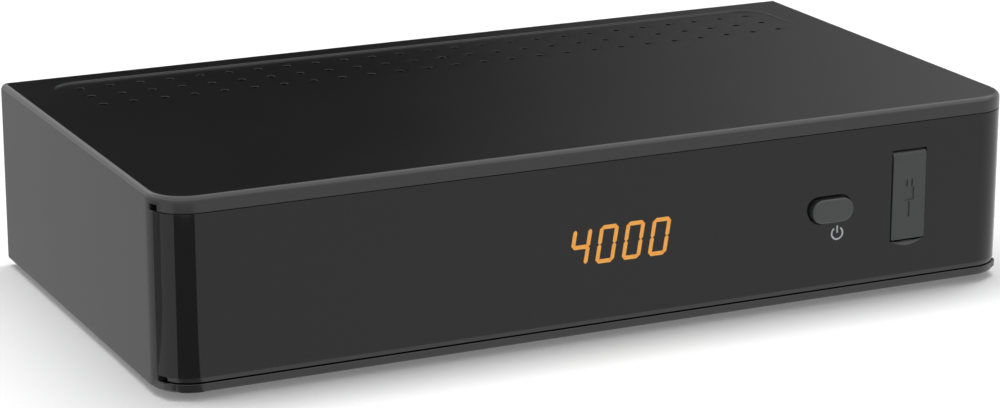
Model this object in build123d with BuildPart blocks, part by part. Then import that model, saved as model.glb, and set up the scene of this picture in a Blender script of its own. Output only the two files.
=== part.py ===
from build123d import *
import os

os.makedirs("parts", exist_ok=True)

# Satellite television receiver: a low plastic housing with a wrap-round front panel.
# Millimetres. X runs left to right, Y front to back, Z up. The feet stand on Z = 0.

# ------------------------------------------------------------ housing
case_width = 220.0  # outside, side to side
case_depth = 116.0  # outside, front to back
case_height = 45.0  # outside, without the feet
front_corner_radius = 9.5
top_edge_radius = 2.0
bottom_edge = 0.6
rear_edge = 0.4  # bevel round the rear face
cover_wall = 2.0
roof_wall = 2.4
rear_lip_depth = 1.2  # cover edge behind the rear panel
rear_lip_width = 1.6  # how far that edge reaches inwards
foot_height = 1.8  # rubber feet below the housing
seam_gap = 0.15  # between fixed mouldings

# ------------------------------------------------------------ front window of the cover
rim_height = 2.1  # strip of the cover below the front panel
rim_depth = 5.0
bezel_height = 3.75  # strip of the cover above the front panel
panel_return = 6.2  # how far the front panel wraps back along each side
notch_length = 2.4  # clearance notches at the panel's ends
notch_height = 1.5

# ------------------------------------------------------------ vents in the cover
vent_columns = 25
vent_rows = 3
vent_side_margin = 6.52  # outer columns, from the recess's sides
vent_pitch_y = 8.9
vent_rear_inset = 12.0  # last row, from the rear face
vent_throat_radius = 0.75
vent_mouth_radius = 1.85
vent_wall = 1.2  # roof left below the deepest part of the recess
recess_side_inset = 10.0
recess_rear_inset = 6.2  # from the rear face
recess_length = 31.0
recess_depth = 0.6  # at its rear end, nothing at its front end
recess_corner_radius = 7.0

# ------------------------------------------------------------ base and fasteners
base_thickness = 2.0
pad_height = 2.0  # raised pads round the cover screws
pad_radius = 5.0
pillar_inset = 12.0  # cover pillars, from each side
pillar_front_inset = 15.0
pillar_rear_inset = 14.0
pillar_radius = 3.5
cover_screw_radius = 1.45
cover_screw_length = 9.0
screw_head_radius = 2.8
screw_head_height = 1.8
screw_clearance = 0.05
screw_sides = 8  # shanks and their holes are drawn with flat sides
post_sides = 10  # as are heads, posts and bosses
round_sides = 24  # feet and insulators
core_clearance = 0.05  # insulators in their sleeves
head_clearance = 0.3
foot_radius = 6.0
foot_recess = 0.6
foot_inset_x = 28.0
foot_inset_y = 17.0
base_slot_count = 9
base_slot_pitch = 7.0
base_slot_width = 2.6
base_slot_length = 34.0

# ------------------------------------------------------------ front panel
panel_wall = 2.2
panel_lip_height = 1.25  # chamfer along the lower edge
panel_lip_depth = 0.25
panel_edge = 0.3
window_skin = 1.0  # panel left in front of the display
tab_width = 12.0
tab_thickness = 1.4
tab_root = 4.0
tab_spacing = 52.0
peg_width = 8.0
peg_length = 1.2
peg_inset = 1.4  # behind the panel's face
tongue_length = 5.0
tongue_margin = 8.0

# ------------------------------------------------------------ power button and its switch
button_from_right = 51.5
button_drop = 0.3  # below the middle of the front
button_width = 11.35
button_thickness = 6.1
button_proud = 1.8
button_gap = 0.35
button_edge = 0.5
button_flange = 1.1  # wider than the key on each side
button_flange_gap = 0.1
button_flange_thickness = 0.8
button_stem = 3.0
button_travel = 0.5
switch_size = 6.0
switch_depth = 3.5
plunger_radius = 1.7
plunger_length = 3.0
plunger_proud = 1.5
plunger_clearance = 0.05

# ------------------------------------------------------------ port flap and front USB socket
flap_from_right = 29.65
flap_rise = 0.75  # above the middle of the front
flap_width = 9.2
flap_height = 22.3
flap_thickness = 1.8
flap_proud = 0.3
flap_gap = 0.25
flap_edge_radius = 0.4
hinge_barrel_radius = 1.6
hinge_pin_radius = 0.7
hinge_pin_length = 1.2
hinge_clearance = 0.05
ear_width = 2.6
pocket_floor_depth = 3.3  # behind the panel's face
pocket_wall = 1.0
scoop_width = 9.0
scoop_height = 1.3
scoop_depth = 1.0
usb_width = 13.1
usb_thickness = 5.7
usb_shell_wall = 0.35
usb_tongue_width = 11.0
usb_tongue_thickness = 1.9
usb_tongue_offset = 0.9
usb_plug_length = 3.0  # solid rear end of the insulator
usb_tongue_setback = 1.0
socket_clearance = 0.25

# ------------------------------------------------------------ front board and what it carries
board_thickness = 1.6
front_board_depth = 17.0  # face of the board behind the panel's face
front_board_left_reach = 22.0  # left of the middle
front_board_right_inset = 20.0
front_board_low = 5.0
front_board_roof_gap = 5.0  # below the housing's top
front_boss_radius = 3.0
front_boss_inset = 5.0
front_boss_near_usb = 22.0
display_offset = 2.3  # from the middle
display_drop = 1.05
display_width = 30.0
display_tall = 14.0
display_depth = 7.2
display_gap = 0.2
spacer_wall = 1.6
spacer_inset = 1.5
receiver_offset = 36.0
receiver_drop = 1.5
receiver_width = 7.5
receiver_tall = 6.0
receiver_depth = 4.0
receiver_lens_radius = 2.2
receiver_lens_height = 4.4
receiver_lens_proud = 1.4
receiver_gap = 0.3
holder_wall = 1.2
small_screw_radius = 1.2
small_screw_length = 6.0
small_head_radius = 2.4
small_head_height = 1.3

# ------------------------------------------------------------ main board
main_board_side_inset = 18.0
main_board_front_inset = 26.0
main_board_rear_gap = 1.0  # to the rear panel
standoff_height = 5.0
standoff_radius = 3.0
main_screw_side_inset = 24.0
main_screw_front_inset = 32.0
main_screw_rear_inset = 20.0
main_screw_tuner_gap = 6.0  # screw in front of the tuner
main_screw_reader_gap = 8.7  # screw beside the card reader

# ------------------------------------------------------------ rear panel and F connectors
rear_panel_thickness = 1.0
cutout_gap = 0.3
f_radius = 4.76  # three-eighths inch thread
f_neck_radius = 4.6  # below the nut and through the panel
f_bore_radius = 3.6
f_reach = 12.0  # beyond the rear panel's outer face
f_pitch = 22.0
f_axis_height = 9.0  # above the main board
f_base_size = 12.0
f_base_thickness = 1.5
f_contact_radius = 0.7
f_nut_across = 12.7
f_nut_thickness = 2.0
f_mouth_depth = 1.2
tuner_width = 42.0
tuner_depth = 30.0
tuner_height = 17.0
can_wall = 0.6
lid_thickness = 0.4
lid_skirt = 3.0
lid_finger_pitch = 6.0
lid_finger_slot = 0.8

# ------------------------------------------------------------ other rear connectors
connector_reach = 0.5  # flat sockets beyond the rear panel's face
socket_margin = 4.0  # outer sockets, from the rear pillars
scart_width = 56.0
scart_tall = 20.0
scart_depth = 16.0
scart_nose_width = 48.0
scart_nose_tall = 15.0
scart_groove_inset = 1.6
scart_groove_width = 1.2
scart_groove_depth = 9.0
scart_slant = 5.0
scart_pitch = 3.81
scart_slots_per_row = 10
scart_slot_width = 2.2
scart_slot_tall = 1.1
scart_row_spacing = 5.0
hdmi_width = 15.0
hdmi_tall = 6.0
hdmi_depth = 12.0
hdmi_wall = 0.5
hdmi_corner = 1.6
hdmi_plug_length = 3.0
hdmi_tongue_width = 11.6
hdmi_tongue_thickness = 1.2
audio_body_width = 10.0
audio_body_tall = 12.5
audio_body_depth = 10.0
audio_ring_radius = 4.15
audio_ring_wall = 0.6
audio_neck_radius = 3.9  # ring where it goes through the rear panel
audio_reach = 8.5
audio_pin_radius = 1.7
ethernet_width = 16.0
ethernet_tall = 13.5
ethernet_depth = 21.0
ethernet_wall = 0.4
ethernet_mouth_width = 11.8
ethernet_mouth_tall = 8.2
ethernet_mouth_depth = 14.0
ethernet_latch_width = 6.2
ethernet_latch_tall = 2.0
power_body_width = 9.0
power_body_tall = 11.0
power_body_depth = 14.0
power_bore_radius = 3.15
power_pin_radius = 1.0
power_bore_depth = 9.0

# ------------------------------------------------------------ parts on the main board
processor_side_inset = 80.0  # from the board's left edge, as are those of the other parts
processor_front_inset = 54.0
processor_size = 23.0
processor_base = 0.8
processor_cap_size = 19.0
processor_cap = 1.0
sink_size = 32.0
sink_base = 2.0
sink_height = 11.0
sink_fins = 8
sink_fin_thickness = 1.1
memory_side_inset = 46.0
memory_pitch = 17.0
memory_width = 9.0
memory_length = 13.0
chip_thickness = 1.1
chip_chamfer = 0.3
flash_side_inset = 113.0
flash_width = 12.0
flash_length = 18.5
capacitor_radius = 4.0
capacitor_height = 11.5
capacitor_edge = 0.5
capacitor_side_inset = 16.0
capacitor_front_inset = 23.5
capacitor_pitch = 11.0
capacitor_count = 4
inductor_side_inset = 30.0
inductor_size = 7.0
inductor_height = 4.0
inductor_pitch = 11.0
inductor_count = 3
crystal_side_inset = 104.0
crystal_width = 11.0
crystal_depth = 4.6
crystal_height = 3.5

# ------------------------------------------------------------ smart-card reader
reader_depth = 57.0  # front to back
reader_length = 56.0  # inwards from the right wall
reader_height = 5.0
reader_front_inset = 22.0
reader_wall_gap = 0.3
card_width = 54.6
card_channel = 1.2
card_channel_level = 1.8  # above the main board
card_stop = 4.0
card_slot_height = 1.6
slot_bevel = 0.9
contact_pitch = 2.54
contact_row_spacing = 7.62
contact_width = 1.4
contact_length = 4.0
contact_rise = 0.2

# ------------------------------------------------------------ ribbon between the boards
ribbon_screw_gap = 16.0  # beside the board screw
ribbon_width = 14.0
ribbon_thickness = 0.6
ribbon_bend = 4.0
header_width = 17.0
header_tall = 5.0
header_depth = 4.0
header_rise = 1.5
header_rear_offset = 8.0

# ------------------------------------------------------------ places worked out from the sizes
total_depth = button_proud + case_depth - rear_lip_depth + f_reach
front_y = button_proud - total_depth / 2
rear_y = front_y + case_depth
half_width = case_width / 2
case_bottom = foot_height
case_top = case_bottom + case_height
roof_underside = case_top - roof_wall
window_bottom = case_bottom + rim_height
window_top = case_top - bezel_height
window_end_y = front_y + panel_return
base_top = case_bottom + base_thickness
recess_width = case_width - 2 * recess_side_inset
vent_pitch_x = (recess_width - 2 * vent_side_margin) / (vent_columns - 1)
front_middle_z = case_bottom + case_height / 2
rear_panel_outer = rear_y - rear_lip_depth
rear_panel_inner = rear_panel_outer - rear_panel_thickness
panel_inside = front_y + panel_wall
pillar_x = half_width - pillar_inset
pillar_ys = (front_y + pillar_front_inset, rear_y - pillar_rear_inset)
pillar_points = [(x, y) for x in (-pillar_x, pillar_x) for y in pillar_ys]
foot_x = half_width - foot_inset_x
foot_ys = (front_y + foot_inset_y, rear_y - foot_inset_y)
foot_points = [(x, y) for x in (-foot_x, foot_x) for y in foot_ys]
main_board_underside = base_top + standoff_height
main_board_top = main_board_underside + board_thickness
main_board_front = front_y + main_board_front_inset
main_board_rear = rear_panel_inner - main_board_rear_gap
main_board_half = half_width - main_board_side_inset
button_x = half_width - button_from_right
button_z = front_middle_z - button_drop
flap_x = half_width - flap_from_right
flap_z = front_middle_z + flap_rise
flap_top = flap_z + flap_height / 2
flap_bottom = flap_z - flap_height / 2
flap_face = front_y - flap_proud
hinge_y = flap_face + hinge_barrel_radius
hinge_z = flap_top - hinge_barrel_radius
pocket_floor = front_y + pocket_floor_depth
front_board_face = front_y + front_board_depth
front_board_back = front_board_face + board_thickness
front_board_left = -front_board_left_reach
front_board_right = half_width - front_board_right_inset
front_board_middle = (front_board_left + front_board_right) / 2
front_board_bottom = case_bottom + front_board_low
front_board_top = case_top - front_board_roof_gap
display_z = front_middle_z - display_drop
display_face = front_y + window_skin + display_gap
display_back = display_face + display_depth
receiver_z = front_middle_z - receiver_drop
receiver_face = panel_inside + receiver_gap + receiver_lens_proud
receiver_back = receiver_face + receiver_depth
switch_face = front_board_face - switch_depth
plunger_tip = switch_face - plunger_proud
button_flange_face = panel_inside + button_flange_gap
front_boss_points = [
    (front_board_left + front_boss_inset, front_board_top - front_boss_inset),
    (front_board_left + front_boss_inset, front_board_bottom + front_boss_inset),
    (button_x, front_board_top - front_boss_inset),
    (front_board_right - front_boss_near_usb, front_board_bottom + front_boss_inset),
]
# rear sockets stand in one row between the rear pillars, the tuner first and the power socket last
socket_row = 2 * (pillar_x - pillar_radius - socket_margin)
socket_widths = tuner_width + scart_width + hdmi_width + audio_body_width + ethernet_width + power_body_width
socket_gap = (socket_row - socket_widths) / 5
tuner_x = (tuner_width - socket_row) / 2
scart_x = tuner_x + (tuner_width + scart_width) / 2 + socket_gap
hdmi_x = scart_x + (scart_width + hdmi_width) / 2 + socket_gap
audio_x = hdmi_x + (hdmi_width + audio_body_width) / 2 + socket_gap
ethernet_x = audio_x + (audio_body_width + ethernet_width) / 2 + socket_gap
power_x = ethernet_x + (ethernet_width + power_body_width) / 2 + socket_gap
lnb_input_x = tuner_x - f_pitch / 2
lnb_output_x = tuner_x + f_pitch / 2
f_axis_z = main_board_top + f_axis_height
f_base_face = rear_panel_inner - seam_gap
f_base_front = f_base_face - f_base_thickness
f_end = rear_panel_outer + f_reach
tuner_y = f_base_front - tuner_depth / 2
socket_face = rear_panel_outer + connector_reach
scart_z = main_board_top + scart_tall / 2
hdmi_z = main_board_top + hdmi_tall / 2
audio_z = main_board_top + audio_body_tall / 2
ethernet_z = main_board_top + ethernet_tall / 2
power_z = main_board_top + power_body_tall / 2
reader_mouth = half_width - cover_wall - reader_wall_gap
reader_x = reader_mouth - reader_length / 2
reader_y = front_y + reader_front_inset + reader_depth / 2
card_z = main_board_top + card_channel_level + card_channel / 2
processor_x = processor_side_inset - main_board_half
power_parts_y = main_board_front + capacitor_front_inset
processor_y = front_y + processor_front_inset
header_z = front_middle_z + header_rise
main_header_y = main_board_front + header_rear_offset
main_screw_x = half_width - main_screw_side_inset
main_screw_y = front_y + main_screw_front_inset
reader_screw_x = reader_mouth - reader_length - main_screw_reader_gap
main_screw_points = [
    (-main_screw_x, main_screw_y),
    (-main_screw_x, tuner_y - tuner_depth / 2 - main_screw_tuner_gap),
    (reader_screw_x, main_screw_y),
    (main_screw_x, rear_y - main_screw_rear_inset),
]
ribbon_x = reader_screw_x - ribbon_screw_gap

on_floor = (Align.CENTER, Align.CENTER, Align.MIN)
hung = (Align.CENTER, Align.CENTER, Align.MAX)
behind = (Align.CENTER, Align.MIN, Align.CENTER)
in_front = (Align.CENTER, Align.MAX, Align.CENTER)


def upright(y):
    """Plane that stands across the receiver at y, drawn in X and Z, facing the front."""
    return Plane.XZ.offset(-y)


def housing_outline(inset, back, mode=Mode.ADD):
    """Draw the housing's plan up to back, moved in by inset, with its large front corners."""
    half = half_width - inset
    front = front_y + inset
    front_radius = front_corner_radius - inset
    with BuildLine() as outline:
        FilletPolyline(
            (-half, front),
            (half, front),
            (half, back),
            (-half, back),
            radius=[front_radius, front_radius, 0, 0],
            close=True,
        )
    make_face(outline.edges(), mode=mode)


def keep_between(front, back):
    """Keep only the part of the sketch that lies between two distances back."""
    with Locations((0, (front + back) / 2)):
        Rectangle(2 * case_width, back - front, mode=Mode.INTERSECT)


def scart_outline():
    """Draw the plug opening of a SCART socket, which has one slanted lower corner."""
    half = scart_nose_width / 2
    tall = scart_nose_tall / 2
    with BuildLine() as outline:
        Polyline(
            (-half, tall),
            (half, tall),
            (half, -tall),
            (scart_slant - half, -tall),
            (-half, scart_slant - tall),
            close=True,
        )
    make_face(outline.edges())


def hdmi_outline():
    """Draw the outside of an HDMI socket, which narrows towards its lower side."""
    half = hdmi_width / 2
    tall = hdmi_tall / 2
    with BuildLine() as outline:
        Polyline(
            (-half, tall),
            (half, tall),
            (half, hdmi_corner - tall),
            (half - hdmi_corner, -tall),
            (hdmi_corner - half, -tall),
            (-half, hdmi_corner - tall),
            close=True,
        )
    make_face(outline.edges())


# ------------------------------------------------------------ top cover
# Satin ABS moulding: roof, both sides, bezel, lower rim and rear lip, with the front left open.
with BuildPart() as recess_cutter:
    recess_rear = rear_y - recess_rear_inset
    recess_front = recess_rear - recess_length
    with BuildSketch(Plane.XY.offset(case_top - recess_depth)):
        with BuildLine():
            FilletPolyline(
                (-recess_width / 2, recess_front),
                (recess_width / 2, recess_front),
                (recess_width / 2, recess_rear),
                (-recess_width / 2, recess_rear),
                radius=[0, 0, recess_corner_radius, recess_corner_radius],
                close=True,
            )
        make_face()
    extrude(amount=2 * recess_depth)
    with BuildSketch(Plane.YZ):
        with BuildLine():
            Polyline(
                (recess_front, case_top),
                (recess_rear, case_top - recess_depth),
                (recess_rear, case_top + recess_depth),
                (recess_front, case_top + recess_depth),
                close=True,
            )
        make_face()
    extrude(amount=half_width, both=True, mode=Mode.INTERSECT)

with BuildPart() as vent_cutter:
    # eight-sided funnel: two square tapers crossed at 45 degrees
    square_on = Plane.XZ
    turned = Plane(origin=(0, 0, 0), x_dir=(1, 1, 0), z_dir=(1, -1, 0))
    for plane, mode in ((square_on, Mode.ADD), (turned, Mode.INTERSECT)):
        with Locations(plane):
            Wedge(
                2 * vent_throat_radius,
                vent_wall + recess_depth,
                2 * vent_throat_radius,
                vent_throat_radius - vent_mouth_radius,
                vent_throat_radius - vent_mouth_radius,
                vent_throat_radius + vent_mouth_radius,
                vent_throat_radius + vent_mouth_radius,
                align=(Align.CENTER, Align.MIN, Align.CENTER),
                mode=mode,
            )

with BuildPart() as top_cover:
    with BuildSketch(Plane.XY.offset(case_bottom)):
        housing_outline(0, rear_y)
    extrude(amount=case_height)
    fillet(top_cover.edges().group_by(Axis.Z)[-1].sort_by(Axis.Y)[:-1], top_edge_radius)
    chamfer(top_cover.edges().group_by(Axis.Z)[0].sort_by(Axis.Y)[:-1], bottom_edge)
    chamfer(top_cover.faces().sort_by(Axis.Y)[-1].edges(), rear_edge)
    # the hollow, open below
    with BuildSketch(Plane.XY.offset(case_bottom)):
        housing_outline(cover_wall, rear_panel_outer)
    extrude(amount=case_height - roof_wall, mode=Mode.SUBTRACT)
    # rear opening, framed by a lip that the rear panel rests against
    with Locations((0, rear_panel_outer, case_bottom)):
        Box(
            case_width - 2 * (cover_wall + rear_lip_width),
            2 * rear_lip_depth,
            case_height - roof_wall - rear_lip_width,
            align=on_floor,
            mode=Mode.SUBTRACT,
        )
    # rim across the front, below the panel
    with BuildSketch(Plane.XY.offset(case_bottom + bottom_edge)):
        housing_outline(cover_wall / 2, rear_y)
        keep_between(front_y, front_y + rim_depth)
    extrude(amount=rim_height - bottom_edge)
    # window for the front panel, round both corners
    with Locations((0, front_y, window_bottom)):
        Box(
            2 * case_width,
            2 * panel_return,
            window_top - window_bottom,
            align=on_floor,
            mode=Mode.SUBTRACT,
        )
    # clearance notches above both ends of the panel
    with Locations((-half_width, window_end_y, window_top), (half_width, window_end_y, window_top)):
        Box(4 * cover_wall, notch_length, notch_height, align=on_floor, mode=Mode.SUBTRACT)
    # slots in the rim for the panel's pegs
    with Locations((0, front_y + peg_inset + tab_thickness / 2, window_bottom)):
        with GridLocations(tab_spacing, 1, 4, 1):
            Box(
                peg_width + 2 * seam_gap,
                tab_thickness + 2 * seam_gap,
                peg_length + seam_gap,
                align=hung,
                mode=Mode.SUBTRACT,
            )
    # sloped recess, and the thinner roof that its tapered vents go through
    add(recess_cutter.part, mode=Mode.SUBTRACT)
    vent_floor = case_top - recess_depth - vent_wall
    vent_middle_y = rear_y - vent_rear_inset - vent_pitch_y * (vent_rows - 1) / 2
    with Locations((0, vent_middle_y, vent_floor)):
        Box(
            (vent_columns + 1) * vent_pitch_x,
            vent_rows * vent_pitch_y,
            roof_wall,
            align=hung,
            mode=Mode.SUBTRACT,
        )
    with Locations((0, vent_middle_y, vent_floor)):
        with GridLocations(vent_pitch_x, vent_pitch_y, vent_columns, vent_rows):
            add(vent_cutter.part, mode=Mode.SUBTRACT)
    # screw pillars down to the base plate's pads
    with BuildSketch(Plane.XY.offset(base_top + pad_height)):
        with Locations(*pillar_points):
            RegularPolygon(pillar_radius, post_sides)
            RegularPolygon(cover_screw_radius + screw_clearance, screw_sides, mode=Mode.SUBTRACT)
    extrude(amount=vent_floor - base_top - pad_height)
    # ribs that hold the rear panel against the lip
    rib_y = rear_panel_inner - seam_gap
    inner_x = half_width - cover_wall
    with Locations((-inner_x, rib_y, base_top), (inner_x, rib_y, base_top)):
        Box(
            2 * rear_lip_width,
            rear_lip_width,
            roof_underside - base_top,
            align=(Align.CENTER, Align.MAX, Align.MIN),
        )
    # bevelled smart-card slot in the right side
    with BuildSketch(Plane((half_width, reader_y, card_z), x_dir=(0, 1, 0), z_dir=(-1, 0, 0))):
        Rectangle(card_width + 2 * slot_bevel, card_slot_height + 2 * slot_bevel)
    extrude(amount=slot_bevel, taper=44, mode=Mode.SUBTRACT)
    with Locations((half_width, reader_y, card_z)):
        Box(3 * cover_wall, card_width, card_slot_height, mode=Mode.SUBTRACT)
top_cover.part.label = "top_cover"
export_step(top_cover.part, "parts/top_cover.step")

# ------------------------------------------------------------ base plate
# ABS tray floor: cooling slots, posts for the main board, pads for the cover screws, foot recesses.
with BuildPart() as base_plate:
    base_inset = cover_wall + seam_gap
    with BuildSketch(Plane.XY.offset(case_bottom)):
        housing_outline(base_inset, rear_panel_outer - seam_gap)
        keep_between(front_y + rim_depth + seam_gap, rear_panel_outer)
        with Locations((0, rear_y)):
            Rectangle(
                case_width - 2 * (cover_wall + rear_lip_width + seam_gap),
                2 * rear_lip_depth,
                align=(Align.CENTER, Align.MAX),
            )
    extrude(amount=base_thickness)
    with BuildSketch(Plane.XY.offset(base_top)):
        with Locations(*pillar_points):
            RegularPolygon(pad_radius, post_sides)
    extrude(amount=pad_height)
    with BuildSketch(Plane.XY.offset(base_top)):
        with Locations(*main_screw_points):
            RegularPolygon(standoff_radius, post_sides)
            RegularPolygon(small_screw_radius + screw_clearance, screw_sides, mode=Mode.SUBTRACT)
    extrude(amount=standoff_height)
    with BuildSketch(Plane.XY.offset(case_bottom)):
        with Locations(*foot_points):
            RegularPolygon(foot_radius + seam_gap, round_sides)
    extrude(amount=foot_recess, mode=Mode.SUBTRACT)
    with BuildSketch(Plane.XY.offset(case_bottom)):
        with Locations(*pillar_points):
            RegularPolygon(cover_screw_radius + screw_clearance, screw_sides)
    extrude(amount=base_thickness + pad_height, mode=Mode.SUBTRACT)
    with BuildSketch(Plane.XY.offset(case_bottom)):
        with Locations(*pillar_points):
            RegularPolygon(screw_head_radius + head_clearance, post_sides)
    extrude(amount=screw_head_height + head_clearance, mode=Mode.SUBTRACT)
    with Locations((0, processor_y, base_top)):
        with GridLocations(base_slot_pitch, 1, base_slot_count, 1):
            Box(base_slot_width, base_slot_length, 3 * base_thickness, mode=Mode.SUBTRACT)
base_plate.part.label = "base_plate"
export_step(base_plate.part, "parts/base_plate.step")

# ------------------------------------------------------------ rubber feet
# Four moulded discs, each pressed into its recess in the base plate.
with BuildPart() as rubber_feet:
    with BuildSketch():
        with Locations(*foot_points):
            RegularPolygon(foot_radius, round_sides)
    extrude(amount=foot_height + foot_recess)
    chamfer(rubber_feet.edges().group_by(Axis.Z)[0], foot_recess)
rubber_feet.part.label = "rubber_feet"
export_step(rubber_feet.part, "parts/rubber_feet.step")

# ------------------------------------------------------------ cover screws
# Pan-head screws from below, through the base plate's pads into the cover's pillars.
with BuildPart() as cover_screws:
    with BuildSketch(Plane.XY.offset(case_bottom + head_clearance)):
        with Locations(*pillar_points):
            RegularPolygon(screw_head_radius, post_sides)
    extrude(amount=screw_head_height)
    with BuildSketch(Plane.XY.offset(case_bottom + head_clearance + screw_head_height)):
        with Locations(*pillar_points):
            RegularPolygon(cover_screw_radius, screw_sides)
    extrude(amount=cover_screw_length)
cover_screws.part.label = "cover_screws"
export_step(cover_screws.part, "parts/cover_screws.step")

# ------------------------------------------------------------ front panel
# Glossy ABS moulding that wraps round both corners. Tabs, pegs and tongues hold it in the cover,
# and its bosses carry the front board.
panel_low = window_bottom + seam_gap
panel_high = window_top - seam_gap
flap_opening_width = flap_width + 2 * flap_gap
flap_opening_height = flap_height + 2 * flap_gap
with BuildPart() as scoop_cutter:
    # dish of the fingernail scoop, kept only below the flap
    scoop_radius = (scoop_height**2 + (scoop_width / 2) ** 2) / (2 * scoop_height)
    scoop_top = flap_bottom - flap_gap
    scoop_centre = scoop_top - scoop_height + scoop_radius
    with Locations(Plane((flap_x, front_y, scoop_centre), x_dir=(1, 0, 0), z_dir=(0, 1, 0))):
        Cone(scoop_radius, scoop_radius - scoop_depth, scoop_depth, align=on_floor)
    with Locations((flap_x, front_y, scoop_top)):
        Box(2 * scoop_width, 4 * scoop_depth, 2 * scoop_height, align=hung, mode=Mode.INTERSECT)

with BuildPart() as front_panel:
    with BuildSketch(Plane.XY.offset(panel_low)):
        housing_outline(0, rear_y)
        keep_between(front_y, window_end_y - seam_gap)
    extrude(amount=panel_high - panel_low)
    lower_face = front_panel.faces().sort_by(Axis.Z)[0]
    lower_edges = lower_face.edges().sort_by(Axis.Y)[:-1]
    chamfer(lower_edges, panel_lip_depth, panel_lip_height, reference=lower_face)
    upper_edges = front_panel.faces().sort_by(Axis.Z)[-1].edges().sort_by(Axis.Y)[:-1]
    chamfer(upper_edges, panel_edge)
    with BuildSketch(Plane.XY.offset(panel_low)):
        housing_outline(panel_wall, rear_y)
    extrude(amount=panel_high - panel_low, mode=Mode.SUBTRACT)
    # notches at the lower ends
    with Locations(
        (-half_width, window_end_y, panel_low),
        (half_width, window_end_y, panel_low),
    ):
        Box(
            4 * cover_wall,
            notch_length,
            panel_lip_height,
            align=(Align.CENTER, Align.MAX, Align.MIN),
            mode=Mode.SUBTRACT,
        )
    # tongues that slide behind the cover's sides
    tongue_inset = cover_wall + seam_gap
    tongue_low = case_bottom + tongue_margin
    tongue_high = case_top - tongue_margin
    with BuildSketch(Plane.XY.offset(tongue_low)):
        housing_outline(tongue_inset - tab_thickness, rear_y)
        housing_outline(tongue_inset + tab_thickness, rear_y, mode=Mode.SUBTRACT)
        keep_between(front_y + panel_wall + tab_thickness, window_end_y - seam_gap)
    extrude(amount=tongue_high - tongue_low)
    with BuildSketch(Plane.XY.offset(tongue_low)):
        housing_outline(tongue_inset, rear_y)
        housing_outline(tongue_inset + tab_thickness, rear_y, mode=Mode.SUBTRACT)
        keep_between(front_y + panel_wall + tab_thickness, window_end_y + tongue_length)
    extrude(amount=tongue_high - tongue_low)
    # tabs behind the bezel, each on a thicker root
    tab_front = front_y + cover_wall + seam_gap
    with Locations((0, tab_front, window_top - tab_root)):
        with GridLocations(tab_spacing, 1, 4, 1):
            Box(
                tab_width,
                tab_thickness,
                roof_underside - seam_gap - window_top + tab_root,
                align=(Align.CENTER, Align.MIN, Align.MIN),
            )
            Box(
                tab_width,
                2 * tab_thickness,
                tab_root / 2,
                align=on_floor,
            )
    # pegs into the rim
    with Locations((0, front_y + peg_inset, window_bottom - peg_length)):
        with GridLocations(tab_spacing, 1, 4, 1):
            Box(
                peg_width,
                tab_thickness,
                peg_length + tab_root,
                align=(Align.CENTER, Align.MIN, Align.MIN),
            )
    # pocket for the display
    with Locations((display_offset, front_y + window_skin, display_z)):
        Box(
            display_width + 2 * display_gap,
            2 * panel_wall,
            display_tall + 2 * display_gap,
            align=behind,
            mode=Mode.SUBTRACT,
        )
    # opening for the button
    with BuildSketch(upright(front_y - button_proud)):
        with Locations((button_x, button_z)):
            SlotOverall(button_width + 2 * button_gap, button_thickness + 2 * button_gap)
    extrude(amount=-(button_proud + 2 * panel_wall), mode=Mode.SUBTRACT)
    # pocket and hinge ears behind the flap
    pocket_back = pocket_floor + pocket_wall
    with Locations((flap_x, front_y + panel_wall / 2, flap_z)):
        Box(
            flap_opening_width + 2 * pocket_wall,
            pocket_back - front_y - panel_wall / 2,
            flap_opening_height + 2 * pocket_wall,
            align=behind,
        )
    with Locations((flap_x, front_y + panel_wall / 2, hinge_z)):
        Box(
            flap_opening_width + 2 * ear_width,
            pocket_back - front_y - panel_wall / 2,
            2 * ear_width,
            align=behind,
        )
    with Locations((flap_x, pocket_floor, flap_z)):
        Box(
            flap_opening_width,
            2 * pocket_floor_depth,
            flap_opening_height,
            align=in_front,
            mode=Mode.SUBTRACT,
        )
        Box(
            usb_thickness + 2 * socket_clearance,
            4 * pocket_wall,
            usb_width + 2 * socket_clearance,
            mode=Mode.SUBTRACT,
        )
    with BuildSketch(Plane.YZ.offset(flap_x)):
        with Locations((hinge_y, hinge_z)):
            Circle(hinge_pin_radius + hinge_clearance)
    extrude(
        amount=flap_width / 2 + hinge_pin_length + hinge_clearance,
        both=True,
        mode=Mode.SUBTRACT,
    )
    add(scoop_cutter.part, mode=Mode.SUBTRACT)
    # bosses for the front board
    with BuildSketch(upright(front_board_face)):
        with Locations(*front_boss_points):
            RegularPolygon(front_boss_radius, post_sides)
    extrude(amount=front_board_face - front_y - panel_wall / 2)
    with BuildSketch(upright(front_board_face)):
        with Locations(*front_boss_points):
            RegularPolygon(small_screw_radius + screw_clearance, screw_sides)
    extrude(amount=small_screw_length, mode=Mode.SUBTRACT)
front_panel.part.label = "front_panel"
export_step(front_panel.part, "parts/front_panel.step")

# ------------------------------------------------------------ power button
# Oblong ABS key with a flange behind the panel and a stem that ends at the switch.
with BuildPart() as power_button:
    with BuildSketch(upright(front_y - button_proud)):
        with Locations((button_x, button_z)):
            SlotOverall(button_width, button_thickness)
    extrude(amount=-(button_proud + button_flange_face - front_y))
    chamfer(power_button.faces().sort_by(Axis.Y)[0].edges(), button_edge)
    with Locations((button_x, button_flange_face, button_z)):
        Box(
            button_width + 2 * button_flange,
            button_flange_thickness,
            button_thickness + 2 * button_flange,
            align=behind,
        )
    with Locations((button_x, plunger_tip - plunger_clearance, button_z)):
        Box(
            button_stem,
            plunger_tip - plunger_clearance - button_flange_face,
            button_stem,
            align=in_front,
        )
power_button.part.label = "power_button"
export_step(power_button.part, "parts/power_button.step")

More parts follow.
